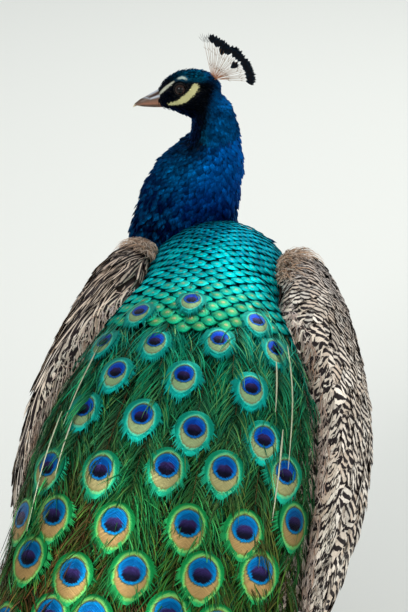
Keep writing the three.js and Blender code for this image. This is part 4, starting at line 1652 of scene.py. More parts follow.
# ---------------------------------------------------------------- mantle
@dataclass
class Mantle:
    """The scales of the upper back, in staggered rows that grow towards the rump."""

    datum: Datum
    nodes: dict[str, bpy.types.Object]
    effects: Effects
    front: float = 152.0
    rear: float = -146.0
    middle_height: float = 388.0
    spread: float = 104.0
    droop: float = 0.20
    width: tuple[float, float] = (9.6, 20.5)
    pitch: tuple[float, float] = (5.6, 11.6)

    def patch(self) -> Patch:
        """The back's surface under the scales."""
        y = np.linspace(self.front, self.rear, 60)
        x = np.interp(y, [-90, -20, 50, 120, 174], [0, 2, 0, -7, -16])
        centres = self.datum.place(np.stack([x, y, np.full_like(y, self.middle_height)], -1))
        a = np.radians(np.linspace(-self.spread, self.spread, 73))
        outward = np.stack([np.sin(a), np.zeros_like(a), np.cos(a)], -1)
        solids = Solids(["trunk", "train_rump", "train_fall"], self.nodes)
        return solids.patch(centres, outward, facing=1, smooth=4)

    def roots(self, patch: Patch) -> Array:
        """The scales' roots: head to tail share, side to side share, and growth from 0 to 1."""
        length = float(np.linalg.norm(np.diff(patch.grid[:, 36], axis=0), axis=1).sum()) / MM
        girth = np.linalg.norm(np.diff(patch.grid, axis=1), axis=2).sum(1) / MM
        places, way, row = [], -self.droop * length, 0
        while way < length:
            share = way / length
            width = np.interp(share, [0, 1], self.width)
            across = np.interp(share, np.linspace(0, 1, patch.rows), girth)
            half = int(across / 2 / width)
            for j in range(-half, half + 1):
                t = 0.5 + (j + 0.5 * (row % 2)) * width / across
                aside = 2 * abs(t - 0.5)
                s = share + self.droop * aside**1.7
                if 0.01 < t < 0.99 and 0 <= s < 0.97 - 0.34 * aside**1.6:
                    places.append((s, t, max(share, 0.0)))
            way += np.interp(share, [0, 1], self.pitch)
            row += 1
        return np.array(places)

    def lining(self, sheets: Sheets, patch: Patch) -> None:
        """A dark sheet under the scales, painted shade for the gaps, so that no light shows between them."""
        s, t = np.meshgrid(np.linspace(0, 1, 80), np.linspace(0, 1, 61), indexing="ij")
        points, _ = patch.at(s, t, np.full(s.shape, -0.4 * MM))
        vane = np.stack([(t - 0.5) * 8, 0 * s, 0 * s], -1)
        sheets.add(points[None], vane[None], np.array([[0.0, 0.0, 0.0, 0.0]]), np.stack([t, 1 - s], -1)[None])

    def build(self) -> None:
        """Lay the scales."""
        patch = self.patch()
        chance = np.random.default_rng(11)
        s, t, grown = self.roots(patch).T
        n, rows, cols = len(s), 7, 7
        width = np.interp(grown, [0, 1], self.width) * MM
        pitch = np.interp(grown, [0, 1], self.pitch) * MM
        length = 2.5 * pitch * chance.uniform(0.95, 1.08, n)
        v = np.linspace(0, 1, rows)
        yaw = np.radians(chance.normal(0, 4, n) + (t - 0.5) * 30)
        ahead = length[:, None] * v * np.cos(yaw)[:, None]
        aside = length[:, None] * v * np.sin(yaw)[:, None]
        there = patch.walk(s[:, None], t[:, None], ahead, aside)
        tip = (0.20 * pitch * chance.uniform(0.6, 1.4, n))[:, None]
        spine, up = patch.at(*there, 0.2 * MM + tip * v**1.3)
        half = width[:, None] * 0.60 * np.interp(v, [0, 0.3, 0.6, 0.85, 1], [0.6, 0.9, 1.0, 0.94, 0.72])
        lag = width[:, None] * np.interp(v, [0, 0.5, 0.8, 1], [0.0, 0.06, 0.2, 0.42])
        points = ribbon(spine, up, half, cols, cup=0.2, lag=lag)
        u = np.linspace(-1, 1, cols)
        bow = np.clip(v[:, None] - np.interp(v, [0, 0.5, 1], [0, 0.04, 0.2])[:, None] * u**2 * 0.8, 0, 1)
        luck = chance.random(n)
        vane = packed(u, bow[None], luck[:, None, None])
        side = np.abs(t - 0.47)
        tone = blend(tint(0, 200, 232)[None], tint(0, 214, 216), ease(0.1, 0.5, s))
        tone = blend(tone, tint(8, 172, 118), ease(0.62, 0.95, s) * ease(0.36, 0.12, side))
        tone = blend(tone, tint(0, 118, 158), chance.random(n) ** 1.2 * 0.95 * ease(0.9, 0.3, s))
        # painted shade: darker and bluer towards the right of the upper rows, darker at both sides and a
        # little darker towards the rump
        tone = blend(tone, tint(0, 120, 176), 0.7 * ease(0.55, 0.8, t) * ease(0.5, 0.15, s))
        tone = blend(tone, tint(0, 96, 116), ease(0.22, 0.42, side) * 0.75)
        tone = tone * (1 - 0.5 * ease(0.07, 0.26, side) - 0.18 * ease(0.6, 0.9, s))[:, None]
        # painted shadow: the first rows go dark, most of all on the left, where the neck meets the mantle
        tone = blend(tone, tint(0, 30, 36), ease(0.22, 0.04, s) * (0.3 + 0.65 * ease(0.55, 0.3, t)))
        gold = ease(0.45, 0.9, s) * ease(0.36, 0.14, side) * chance.uniform(0.2, 0.75, n)
        tone = np.concatenate([tone, gold[:, None]], 1)
        sheets = Sheets()
        place = on_map(s, t, 0.03)
        bake = patches(place, np.interp(grown, [0, 1], (0.018, 0.032)), rows, cols)
        sheets.add(points, vane, tone, bake)
        self.lining(sheets, patch)
        finish = ScaleFinish("Mantle scales", self.effects, roughness=0.5, metallic=0.92, bump=0.5,
                             depth=0.25, edge=(0.2, 0.9, 1.0))
        sheets.piece("mantle_scales", "mantle_plumage", [finish.material()])


# ---------------------------------------------------------------- train
TRAIN_LINE = (
    # the train's top line from the rump to the end: place, half width and rise of the arch
    (2, -30, BACK_TOP - 6, 70, 26),
    (2, -110, BACK_TOP - 10, 106, 56),
    (0, -190, BACK_TOP - 38, 130, 78),
    (-9, -270, BACK_TOP - 94, 147, 90),
    (-19, -345, BACK_TOP - 174, 153, 92),
    (-30, -420, BACK_TOP - 264, 160, 84),
    (-42, -505, BACK_TOP - 360, 164, 74),
    (-48, -610, BACK_TOP - 438, 178, 66),
    (-48, -740, BACK_TOP - 470, 200, 54),
    (-50, -900, BACK_TOP - 482, 212, 42),
    (-50, -1060, BACK_TOP - 490, 200, 34),
    (-48, -1200, BACK_TOP - 498, 164, 26),
    (-46, -1290, BACK_TOP - 506, 120, 18),
)


@dataclass
class Train:
    """The train: eye feathers in layers, each with its shaft, loose barbs and eye, over a dark down whose
    colour is painted shade beneath them.
    """

    datum: Datum
    effects: Effects
    first_row: float = 92.0
    sweep: float = 460.0
    last: float = 1418.0
    pitches: tuple[float, float, float] = (46.0, 58.0, 76.0)
    turns: tuple[float, float] = (33.0, 23.0)
    rims: tuple[float, float] = (52.0, 74.0)
    bare: int = 6
    eye_half: tuple[float, ...] = (16.0, 20.0, 23.0)
    shown: float = 240.0
    sunk: float = 17.0
    down_depth: float = 0.015
    barb_gap: float = 2.3
    fringe_turn: float = 150.0
    barb: float = 50.0
    bands: int = 6
    path: Spline = field(default_factory=lambda: Spline(TRAIN_LINE))

    def patch(self) -> Patch:
        """The top surface of the train, raised at its sides where it lies over the wings."""
        rows = self.path.evenly(280)
        along = unit(np.gradient(rows[:, :3], axis=0))
        up = unit(np.cross(along, [1.0, 0.0, 0.0]))
        rim = rows[:, :3] - up * rows[:, 4:5]
        a = np.radians(np.linspace(-90, 90, 73))
        way = np.linspace(0, self.path.length, 280)
        over = 4.0 * (ease(110, 210, way) * ease(560, 430, way))[:, None] * ease(0.6, 0.95, np.abs(np.sin(a)))
        grid = rim[:, None] + np.array([1.0, 0, 0]) * ((rows[:, 3:4] + 0.5 * over) * np.sin(a))[..., None]
        return Patch(self.datum.place(grid + up[:, None] * (rows[:, 4:5] * np.cos(a) + over)[..., None]))

    def eyes(self, chance: np.random.Generator) -> Array:
        """Every feather's end: way down, degrees round, whether it has an eye, how far it sinks."""
        fall = (self.first_row, self.sweep)
        found, way, row = [], self.first_row, 0
        while way < self.last:
            step, rim = np.interp(way, fall, self.turns), np.interp(way, fall, self.rims)
            for j in range(-3, 4):
                turn = (j + 0.5 * (row % 2)) * step
                if abs(turn) < rim:
                    found.append((way + chance.uniform(-13, 13), turn + chance.uniform(-4, 4), 1.0, 1.0))
            way += np.interp(way, [*fall, self.last], self.pitches)
            row += 1
        for way in np.arange(130, self.last, 40):
            found += [(way, 82.0, 0.0, 0.7), (way + 20, -82.0, 0.0, 0.7)]
        for way in np.arange(112, 480, 46):
            found += [
                (way + 14, turn + chance.uniform(-5, 5), 0.0, 1.0) for turn in (-66, -45, -10, 26, 45, 68)
            ]
        for turn in np.arange(-72, 73, 9):
            found.append((self.last + 14 * math.cos(math.radians(turn)), turn, 0.0, 1.0))
        found += self.bare_shafts()
        log.info("train: %d eyes among %d feathers", sum(f[2] > 0 for f in found), len(found))
        return np.array(sorted(found))

    def bare_shafts(self) -> list[tuple[float, float, float, float]]:
        """Pale shafts without barbs on the train's flanks, by turns right and left, shorter and longer."""
        return [
            (205 + 30 * k, (1, -1)[k % 2] * (46 + 5 * (k % 3)), 0.0, -(60 + 40 * (k % 3)))
            for k in range(self.bare)
        ]

    def under(self, back: Array, sinks: Array) -> Array:
        """How deep a feather lies under the top, in metres, a way back from its end."""
        return -self.sunk * MM * np.maximum(sinks, 0) * (1 - np.exp(-back / 0.11))

    def above_floor(self, points: Array) -> Array:
        """Keep points a hair over the floor."""
        points[..., 2] = np.maximum(points[..., 2], FLOOR_GAP)
        return points

    def shafts(self, sheets: Sheets, patch: Patch, end: Array, chance: Array) -> None:
        """Lay the visible length of each shaft."""
        rows = 12
        s, t = self.shares(end)
        bare = end[:, 3] < 0
        shown = np.where(bare, -end[:, 3], np.minimum(self.shown, end[:, 0] - 4))
        back = shown[:, None] * MM * np.linspace(1, 0, rows)
        ahead = 0.35 * self.half_width(end)[:, None] * MM
        there = patch.walk(s[:, None], t[:, None], ahead - back, 0 * back)
        spine, up = patch.at(*there, self.under(back, end[:, 3:]) + (2.6 + 2.6 * bare[:, None]) * MM)
        thick = np.where(bare, 1.3, np.where(end[:, 2] > 0, 0.75, 1.0))[:, None]
        taper = np.linspace(0, 1, rows)
        half = np.interp(taper, [0, 0.15, 0.7, 1], [0.35, 0.8, 0.6, 0.2])[None] * MM * thick
        points = self.above_floor(ribbon(spine, up, half, 3, cup=0.9))
        pale, dull = tint(180, 184, 156), tint(76, 82, 50)
        tone = blend(dull[None, None], Tone.BRONZE.rgb,
                     np.linspace(0, 0.9, rows)[None] + np.zeros((len(end), 1)))
        tone = blend(tone, pale, (bare * 1.0)[:, None] + np.zeros(rows))
        tone = opaque(tone)[:, :, None]
        sheets.add(points, self.vane(points, chance), tone, patches(self.bake_root(end), 0.003, rows, 3),
                   finish=1)

    def vane(self, points: Array, chance: Array) -> Array:
        """Plain pattern coordinates: across from -1 to 1, along from 0 to 1, and a chance number."""
        rows, cols = points.shape[1:3]
        u, v = np.linspace(-1, 1, cols), np.linspace(0, 1, rows)[:, None]
        return packed(u, v[None], chance.reshape(-1, 1, 1))

    def shares(self, end: Array) -> tuple[Array, Array]:
        """A feather's end as shares of the patch."""
        return end[:, 0] / self.path.length, 0.5 + end[:, 1] / 180

    def half_width(self, end: Array) -> Array:
        """Half the width of each eye, in millimetres."""
        return np.interp(end[:, 0], [85, 230, 420], self.eye_half)

    def bake_root(self, end: Array) -> Array:
        """The bake map's place of each feather, in the strip kept for barbs."""
        s, t = self.shares(end)
        low, high = s.min(), max(s.max(), s.min() + 0.01)
        return np.stack([0.68 + 0.30 * np.clip(t, 0, 1), 0.02 + 0.96 * (s - low) / (high - low)], -1)

    def barb_tone(self, way: Array, turn: Array, luck: Array, spare: Array) -> tuple[Array, Array]:
        """Colours at the root and the tip of each barb."""
        first, low = ease(60, 200, way), ease(180, 400, way)
        tip = blend(tint(0, 158, 140)[None], tint(14, 138, 92), first)
        tip = blend(tip, tint(58, 124, 48), low)
        tip = blend(tip, tint(92, 130, 54), ease(0.75, 1.0, luck) * 0.6)
        tip = blend(tip, tint(0, 132, 112), ease(0.3, 0.0, luck) * 0.6)
        tip = blend(tip, tint(10, 172, 98), ease(0.42, 0.2, spare) * ease(150, 320, way) * 0.6)
        warm = (0.1 + 0.8 * ease(220, 420, way)) * (0.6 + 0.4 * ease(30, -30, turn))
        bronze = ease(0.50, 0.72, spare) * warm
        tip = blend(tip, Tone.BRONZE.rgb, bronze)
        root = blend(tint(4, 66, 50)[None], tint(32, 60, 22), low)
        root = blend(root, Tone.UMBER.rgb, bronze)
        level = (0.5 + 0.62 * luck**2) * (1 + 0.5 * ease(260, 140, way) - 0.2 * ease(0, 50, turn) * low)
        return root * [1.4, 1.0, 0.9], tip * level[:, None] * [1.25, 0.92, 0.9]

    def barbs(self, sheets: Sheets, patch: Patch, end: Array, rng: np.random.Generator) -> None:
        """Comb the loose barbs from both sides of each shaft.

        Args:
            sheets: Where the barbs go.
            patch: The train's surface.
            end: Each feather's end.
            rng: The source of chance.
        """
        back, who = [], []
        for i, way in enumerate(end[:, 0]):
            if end[i, 3] < 0:
                continue
            first = 0.55 * self.half_width(end[i : i + 1])[0] if end[i, 2] else -6.0
            mine = np.arange(first, min(self.shown, way - 4), self.barb_gap)
            back.append(mine)
            who.append(np.full(len(mine), i))
        back, who = np.tile(np.concatenate(back), 2), np.tile(np.concatenate(who), 2)
        n = len(back)
        side = np.where(np.arange(n) < n // 2, -1.0, 1.0)
        luck, spare = rng.random(n), rng.random(len(end))[who] * 0.7 + 0.3 * rng.random(n)
        back = back + rng.uniform(-2, 2, n)
        long = self.barb * rng.uniform(0.7, 1.3, n) * np.interp(back, [0, 40, 250], [0.66, 0.95, 1.15])
        rows = 5
        w = np.linspace(0, 1, rows)
        curve = rng.normal(0.75, 0.25, n)[:, None]
        lean = np.radians(46 + rng.normal(0, 7, n))[:, None] * (1 - curve * w)
        step = long[:, None] * MM / (rows - 1)
        ahead = summed(step * np.cos(lean[:, 1:]))
        aside = summed(step * np.sin(lean[:, 1:])) * side[:, None]
        s, t = self.shares(end)
        start = patch.walk(s[who], t[who], -back * MM, 0 * back)
        there = patch.walk(start[0][:, None], start[1][:, None], ahead, aside)
        deep = self.under(np.maximum(back[:, None] * MM - 0.4 * ahead, 0), end[who, 3][:, None])
        stray = (rng.random(n) < 0.1) * rng.uniform(2, 6, n)
        wave = ((rng.normal(0, 1.8, n) + stray)[:, None] * w + 3.0 * w * (1 - w)) * MM
        outer = side * np.sign(end[who, 1]) * ease(5, 30, np.abs(end[who, 1]))
        spine, up = patch.at(*there, deep + wave + (1.6 + 1.6 * luck + 1.2 * outer)[:, None] * MM)
        half = np.interp(w, [0, 0.25, 0.8, 1], [0.35, 0.52, 0.42, 0.12])[None] * MM
        half = half * rng.uniform(0.75, 1.35, (n, 1))
        tilt = rng.normal(0, 0.4, n)[:, None, None]
        along = unit(np.gradient(spine, axis=1))
        up = unit(up + tilt * np.cross(along, up))
        points = self.above_floor(ribbon(spine, up, half, 2))
        root, tip = self.barb_tone(end[who, 0] - back * 0.6, end[who, 1], luck, spare)
        tone = blend(root[:, None], tip[:, None], ease(0.0, 0.55, w)[None])
        tone = opaque(tone)[:, :, None]
        bake = patches(self.bake_root(end)[who], 0.003, rows, 2)
        sheets.add(points, self.vane(points, luck), tone, bake, finish=1)

    def discs(self, sheets: Sheets, patch: Patch, end: Array, luck: Array) -> None:
        """Lay each eye: a domed disc drawn out to a point at its far end, with a fringe of barb ends."""
        seen = end[:, 2] > 0
        end, luck = end[seen], luck[seen]
        n, rows, cols = len(end), 14, 11
        y = np.concatenate([-np.cos(np.linspace(0, math.pi / 2, 7)) * 0.97, np.linspace(0.2, 1.55, 7)])
        outline = np.where(y < 0, np.sqrt(np.clip(1 - (y / 0.98) ** 2, 0.015, 1)), 1.0)
        outline = np.where(y > 0, np.clip(1 - (y / 1.66) ** 2, 0.02, 1) ** 1.05, outline)
        half_mm = self.half_width(end)
        half = half_mm[:, None] * MM * outline
        s, t = self.shares(end)
        ahead = half_mm[:, None] * MM * y
        there = patch.walk(s[:, None], t[:, None], ahead, 0 * ahead)
        lift = -0.5 + 2.2 * luck[:, None] + (2.2 + 1.6 * luck[:, None]) * np.linspace(0, 1, rows)
        spine, up = patch.at(*there, lift * MM)
        points = self.above_floor(ribbon(spine, up, half, cols, cup=0.1))
        u = np.linspace(-1, 1, cols)
        vane = packed(u * outline[:, None], y[:, None], luck[:, None, None])
        tone = np.stack([*np.ones((3, n)), ease(190, 360, end[:, 0])], 1)
        order = np.argsort(np.lexsort((end[:, 1], np.arange(n) // 6)))
        cell, inset = (0.105, 0.145), (0.055, 0.07)
        place = np.stack([order % 6, order // 6], -1) * cell + inset
        sheets.add(points, vane, tone, patches(place, 0.098, rows, cols), finish=0)
        self.fringe(sheets, patch, end, luck, lift[:, 0], lift[:, -1])

    def fringe(self, sheets: Sheets, patch: Patch, end: Array, luck: Array, near: Array,
               far_lift: Array) -> None:
        """Fray the edge of each eye with short green barb ends that run on outwards and tailwards.

        Args:
            sheets: Where the barb ends go.
            patch: The train's surface.
            end: Each eye feather's end.
            luck: A chance number for each eye.
            near: Heights of each disc's head edge in millimetres.
            far_lift: Heights of its tail edge.
        """
        count, rows = 72, 4
        n = len(end)
        angle = np.linspace(-1, 1, count) * math.radians(self.fringe_turn)
        w = np.linspace(0, 1, rows)
        size = self.half_width(end)[:, None, None] * MM
        bulge = 0.46 * np.clip(1 - np.abs(angle) / 1.0, 0, 1) ** 1.1
        edge = (0.80 + bulge)[None, :, None]
        noise = scattered(n * count).reshape(n, count, 1)
        long = (0.22 + 0.46 * noise) * (0.6 + 0.4 * np.cos(angle / 2))[None, :, None]
        cosine, sine = np.cos(angle)[None, :, None], np.sin(angle)[None, :, None]
        out_ahead = edge * cosine + w * long * (0.45 + 0.55 * cosine)
        out_aside = edge * sine + w * long * 0.75 * sine
        ahead = (size * out_ahead).reshape(n * count, rows)
        aside = (size * out_aside).reshape(n * count, rows)
        s, t = (np.repeat(share, count)[:, None] for share in self.shares(end))
        there = patch.walk(s, t, ahead, aside)
        front = (0.5 + 0.5 * np.cos(angle))[None, :]
        base = (near[:, None] * (1 - front) + far_lift[:, None] * front).reshape(-1, 1)
        spine, up = patch.at(*there, (base + 0.5 - 2.2 * w**2) * MM)
        half = np.interp(w, [0, 0.6, 1], [0.95, 0.7, 0.2])[None] * MM * np.ones((n * count, 1))
        points = self.above_floor(ribbon(spine, up, half, 2))
        low = ease(190, 360, end[:, 0])
        tone = blend(tint(8, 158, 146)[None], tint(34, 142, 74), low)
        tone = np.repeat(opaque(tone), count, 0)[:, None]
        faint = np.repeat(0.34 + 0.36 * low, count)[:, None]
        dim = (0.9 + (faint - 0.9) * w)[..., None] * (0.6 + 0.6 * noise.reshape(-1, 1, 1))
        tone = opaque(tone[..., :3] * dim)[:, :, None]
        root = np.repeat(self.bake_root(end), count, 0)
        sheets.add(points, self.vane(points, np.repeat(luck, count)), tone, patches(root, 0.003, rows, 2),
                   finish=1)

    def down(self, patch: Patch) -> None:
        """The dark down that closes the train under its feathers; its dark colour is painted shade beneath
        them.
        """
        s, t = np.meshgrid(np.linspace(0, 1, 200), np.linspace(0.0, 1.0, 49), indexing="ij")
        points, _ = patch.at(s, t, np.full(s.shape, -self.down_depth))
        points = self.above_floor(points)[None]
        vane = np.stack([(t - 0.5) * 8, s * 60, 0 * s], -1)[None]
        sheets = Sheets()
        tone = np.array([[*linear(8, 32, 22), 1.0]])
        sheets.add(points, vane, tone, np.stack([t, s], -1)[None])
        finish = BarbFinish("Train down", self.effects, roughness=0.8, bump=0.6, depth=1.0)
        piece = sheets.piece("train_down", "train_plumage", [finish.material()])
        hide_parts("train_rump", "train_fall", "train_sweep", "train_end", "train_tips")

    def build(self) -> None:
        """Make the down and the feathers in bands from rump to end."""
        patch = self.patch()
        self.down(patch)
        rng = np.random.default_rng(23)
        ends = self.eyes(rng)
        fx = self.effects
        materials = [
            OcellusFinish("Train eyes", fx, roughness=0.42, metallic=0.8, bump=0.5, depth=0.3).material(),
            BarbFinish("Train barbs", fx, roughness=0.45, metallic=0.75, bump=0.3).material(),
        ]
        for index, end in enumerate(np.array_split(ends, self.bands)):
            luck = rng.random(len(end))
            sheets = Sheets()
            self.discs(sheets, patch, end, luck)
            self.shafts(sheets, patch, end, luck)
            self.barbs(sheets, patch, end, rng)
            sheets.piece(f"train_feathers_{index + 1}", "train_plumage", materials)


# ---------------------------------------------------------------- wings
WING_LINE = (
    # a folded right wing's middle line from shoulder to tip, with its share of the flare
    (84, 122, 436, 0), (96, 104, 432, 0), (110, 56, 420, 0), (126, -20, 400, 0.6), (140, -110, 376, 1),
    (146, -200, 344, 0.8), (137, -290, 308, 0.3), (123, -360, 278, 0), (112, -405, 258, 0),
)
PRIMARY_LINE = ((150, -120, 306, 28), (158, -220, 278, 32), (144, -320, 256, 26), (118, -412, 240, 10))


@dataclass(frozen=True)
class WingStyle:
    """How one wing's feathers lie."""

    flare: float
    lean: float
    pitch: tuple[float, float, float] = (8.0, 11.0, 14.0)
    narrow: float = 1.0
    longer: float = 1.0
    stray: float = 5.0
    roll: float = 0.2
    rise: float = 0.09
    streaky: float = 0.0
    downy: float = 0.24
    brown: float = 0.0
    dark: float = 0.5
    seed: int = 31


@dataclass
class Wing:
    """One folded wing: barred coverts, long tertials, down at the shoulder, chestnut primaries."""

    side: str
    datum: Datum
    nodes: dict[str, bpy.types.Object]
    effects: Effects
    roof: Roof
    style: WingStyle

    @property
    def sign(self) -> int:
        """+1 for the right wing and -1 for the left."""
        return SIDES[self.side]

    def line(self) -> Spline:
        """The wing's middle line."""
        return Spline([(self.sign * (x + self.style.flare * f), y, z) for x, y, z, f in WING_LINE])

    def patch(self) -> Patch:
        """The wing's outer surface, from its lower edge over the outside to the back."""
        line = self.line()
        centres = self.datum.place(line(np.linspace(0.03, 0.985, 64) * line.length))
        a = np.radians(np.linspace(-105, 124, 60))
        outward = np.array([0.96 * self.sign, 0.0, 0.26])
        upward = np.array([-0.26 * self.sign, 0.0, 0.96])
        ways = np.cos(a)[:, None] * outward + np.sin(a)[:, None] * upward
        return Solids([f"wing_{self.side}"], self.nodes).patch(centres, ways, facing=-self.sign, smooth=3)

    def size(self, s: Array) -> tuple[Array, Array]:
        """Length and width of the feathers rooted at a share of the wing, in millimetres."""
        length = 30 + 24 * ease(0.08, 0.45, s) + 34 * ease(0.45, 0.8, s)
        width = 13 + 5 * ease(0.1, 0.45, s) + 6 * ease(0.45, 0.8, s)
        return length * self.style.longer, width * self.style.narrow

    def roots(self, patch: Patch) -> Array:
        """Staggered roots over the wing, from the shoulder back."""
        length = float(np.linalg.norm(np.diff(patch.grid[:, 28], axis=0), axis=1).sum()) / MM
        girth = np.linalg.norm(np.diff(patch.grid, axis=1), axis=2).sum(1) / MM
        places, way, row = [], -8.0, 0
        while way < length * 0.9:
            s = max(way, 0) / length
            long, wide = self.size(np.array(s))
            across = np.interp(s, np.linspace(0, 1, patch.rows), girth)
            count = max(int(across / (wide * 0.72)), 3)
            places += [(way / length, (j + 0.5 * (row % 2)) / count) for j in range(count + 1)]
            way += min(long * 0.26, 14.0)
            row += 1
        return np.array(places)

    def coverts(self, patch: Patch) -> None:
        """Lay the barred feathers.

        Args:
            patch: The wing's surface.
        """
        style = self.style
        rng = np.random.default_rng(style.seed)
        s, t = self.roots(patch).T
        n, rows, cols = len(s), 9, 5
        s, t = s + rng.normal(0, 0.005, n), np.clip(t + rng.normal(0, 0.008, n), 0, 1)
        length, width = self.size(np.clip(s, 0, 1))
        length, width = length * rng.uniform(0.85, 1.15, n), width * rng.uniform(0.85, 1.1, n)
        v = np.linspace(0, 1, rows)
        yaw = np.radians(style.lean * ease(0.2, 0.6, t) * ease(0.98, 0.85, t) + rng.normal(0, style.stray, n))
        bend = yaw[:, None] * (1 - 0.5 * v)
        there = patch.comb(s, t, length * MM, bend)
        lift = (0.5 + (style.rise * length * rng.uniform(0.4, 1.5, n))[:, None] * v**1.4) * MM
        spine, up = patch.at(*there, lift)
        along = unit(np.gradient(spine, axis=1))
        up = unit(up + rng.normal(0, style.roll, n)[:, None, None] * np.cross(along, up))
        shape = np.interp(v, [0, 0.2, 0.55, 0.8, 0.93, 1], [0.5, 0.85, 1.0, 0.86, 0.6, 0.22])
        half = width[:, None] / 2 * MM * shape
        lag = width[:, None] * MM * np.interp(v, [0, 0.6, 1], [0.0, 0.1, 0.3])
        points = ribbon(spine, up, half, cols, cup=0.24, lag=lag)
        fray = rng.normal(0, 1, (n, cols)) * width[:, None] * 0.06 * MM
        points[:, -1] += unit(spine[:, -1] - spine[:, -2])[:, None] * fray[..., None]
        points = self.roof.tucked(points, 0.0)
        u = np.linspace(-1, 1, cols)
        scale = (7.0 / np.interp(np.clip(s, 0, 1), [0.05, 0.3, 0.65], style.pitch))[:, None, None]
        across = u * half[..., None] / MM * scale
        along = (v * length[:, None])[..., None] * scale + 0 * across
        streaked = (rng.random(n) < style.streaky * ease(0.8, 0.5, s))[:, None, None]
        luck = rng.random(n)
        vane = np.stack([np.where(streaked, 0.12 * along, across), np.where(streaked, 1.7 * across, along),
                         luck[:, None, None] + 0 * across], -1)
        inner = ease(0.66, 0.85, t) * ease(0.35, 0.55, s)
        tone = blend(Tone.CREAM.rgb[None], tint(186, 170, 152), rng.random(n))
        tone = blend(tone, tint(184, 166, 150), inner * 0.8)
        tone = blend(tone, tint(176, 168, 166), ease(0.3, 0.1, s) * 0.6)
        brown = style.brown * ease(0.42, 0.16, s)[:, None]
        tone = tone * (1 - brown * np.array([0.14, 0.3, 0.46])) * (1.06 + 0.26 * ease(0.2, 0.5, s))[:, None]
        dark = style.dark + 0.08 * rng.normal(0, 1, n) + 0.10 * ease(0.45, 0.2, t) - 0.05 * ease(0.4, 0.6, s)
        tone = np.concatenate([tone, dark[:, None]], 1)
        sheets = Sheets()
        place = on_map(s, t, 0.04)
        sheets.add(points, vane, tone, patches(place, np.interp(s, [0, 0.8], (0.02, 0.045)), rows, cols))
        finish = BarredFinish(f"Barred feathers {self.side}", self.effects, roughness=0.62, bump=0.5)
        sheets.piece(f"wing_feathers_{self.side}", "wing_plumage", [finish.material()])

    def primaries(self) -> None:
        """Stack the long chestnut primaries under the wing."""
        line = Spline([(self.sign * x, y, z, half) for x, y, z, half in PRIMARY_LINE])
        sheets = Sheets()
        rows, cols, count = 16, 7, 8
        for k in range(count):
            share = k / (count - 1)
            knots = line(np.linspace(0.02 + 0.1 * share, 1.0 - 0.22 * share, rows) * line.length)
            drop = (share - 0.5) * 1.5 * knots[:, 3:4]
            spine = knots[:, :3] + np.array([-0.26 * self.sign, 0, 0.96]) * drop
            spine = spine + np.array([self.sign * (3 - 5 * share), 0, 0])
            up = np.tile([0.96 * self.sign, 0.0, 0.26], (rows, 1))
            v = np.linspace(0, 1, rows)
            half = 13 * np.interp(v, [0, 0.2, 0.75, 0.93, 1], [0.5, 0.9, 1, 0.7, 0.2])
            points = ribbon(self.datum.place(spine)[None], up[None], half[None] * MM, cols, cup=0.1)
            points = self.roof.tucked(points, 0.012)
            u = np.linspace(-1, 1, cols)
            vane = packed(u, v[None, :, None] * 6, 0.13 * k)
            tone = np.array([[*(Tone.CHESTNUT.rgb * (0.8 + 0.05 * k)), 0.5]])
            sheets.add(points, vane, tone, patches(np.array([[0.08 + 0.12 * k, 0.5]]), 0.1, rows, cols))
        finish = PlumageFinish(f"Primaries {self.side}", self.effects, roughness=0.55, other=Tone.UMBER,
                               root=-0.2,
                               count=5.0)
        piece = sheets.piece(f"primary_feathers_{self.side}", "primaries", [finish.material()])
        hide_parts(f"primaries_{self.side}")

    def tufts(self, patch: Patch, rng: np.random.Generator) -> tuple[Array, Array, Array]:
        """Where down grows: at the shoulder and along the train's edge, with how near the shoulder it is."""
        n = 46
        middle = np.stack([rng.beta(1.2, 2.2, n) * self.style.downy, rng.uniform(0.84, 1.0, n)], 1)
        roots = np.repeat(middle, 36, 0) + rng.normal(0, 1, (n * 36, 2)) * [0.006, 0.012]
        s = np.concatenate([roots[:, 0], np.where(rng.random(9000) < 0.5, rng.uniform(0.06, 0.9, 9000),
                                                   rng.normal(0.27, 0.06, 9000))])
        t = np.concatenate([np.clip(roots[:, 1], 0, 1), rng.uniform(0.5, 1.0, 9000)])
        points, _ = patch.at(s, t, 0.002)
        inward = points - np.array([self.sign * 0.014, 0, 0])
        beside = np.isnan(self.roof.height(points)) & ~np.isnan(self.roof.height(inward))
        shoulder = np.arange(len(s)) < len(roots)
        chosen = shoulder | (beside & (np.cumsum(beside) < 900))
        return s[chosen], t[chosen], shoulder[chosen]

    def down(self, patch: Patch) -> None:
        """Ruffle soft down over the shoulder and along the train's edge.

        Args:
            patch: The wing's surface.
        """
        rng = np.random.default_rng(self.style.seed + 5)
        s, t, near = self.tufts(patch, rng)
        n, rows = len(s), 5
        long = rng.uniform(14, 28, n) * MM * np.where(near, 1.0, 0.6)
        v = np.linspace(0, 1, rows)
        yaw = rng.normal(0, 1, n) * np.where(near, 0.75, 0.45)
        yaw = (yaw + np.where(near, 0.25, 0.0))[:, None] + rng.normal(0, 0.6, n)[:, None] * v
        there = patch.comb(s, t, long, yaw)
        lift = (1.5 + (rng.uniform(3, 13, n) * np.where(near, 1.0, 0.3))[:, None] * np.sin(v * 2.2)) * MM
        spine, up = patch.at(*there, lift)
        spine = self.roof.tucked(spine, -0.003)
        up = unit(up + rng.normal(0, 0.5, (n, 1, 3)))
        half = np.interp(v, [0, 0.4, 1], [0.5, 0.7, 0.12])[None] * MM * np.ones((n, 1))
        points = ribbon(spine, up, half, 2)
        luck = rng.random(n)
        tone = blend(tint(178, 138, 104)[None], Tone.CREAM.rgb, luck * np.where(near, 0.5, 0.7))
        pale = np.where(near, 0.0, 0.35 + 0.6 * ease(0.13, 0.2, s) * ease(0.42, 0.33, s))
        tone = blend(tone, tint(226, 206, 202), pale * (0.4 + 0.6 * luck))
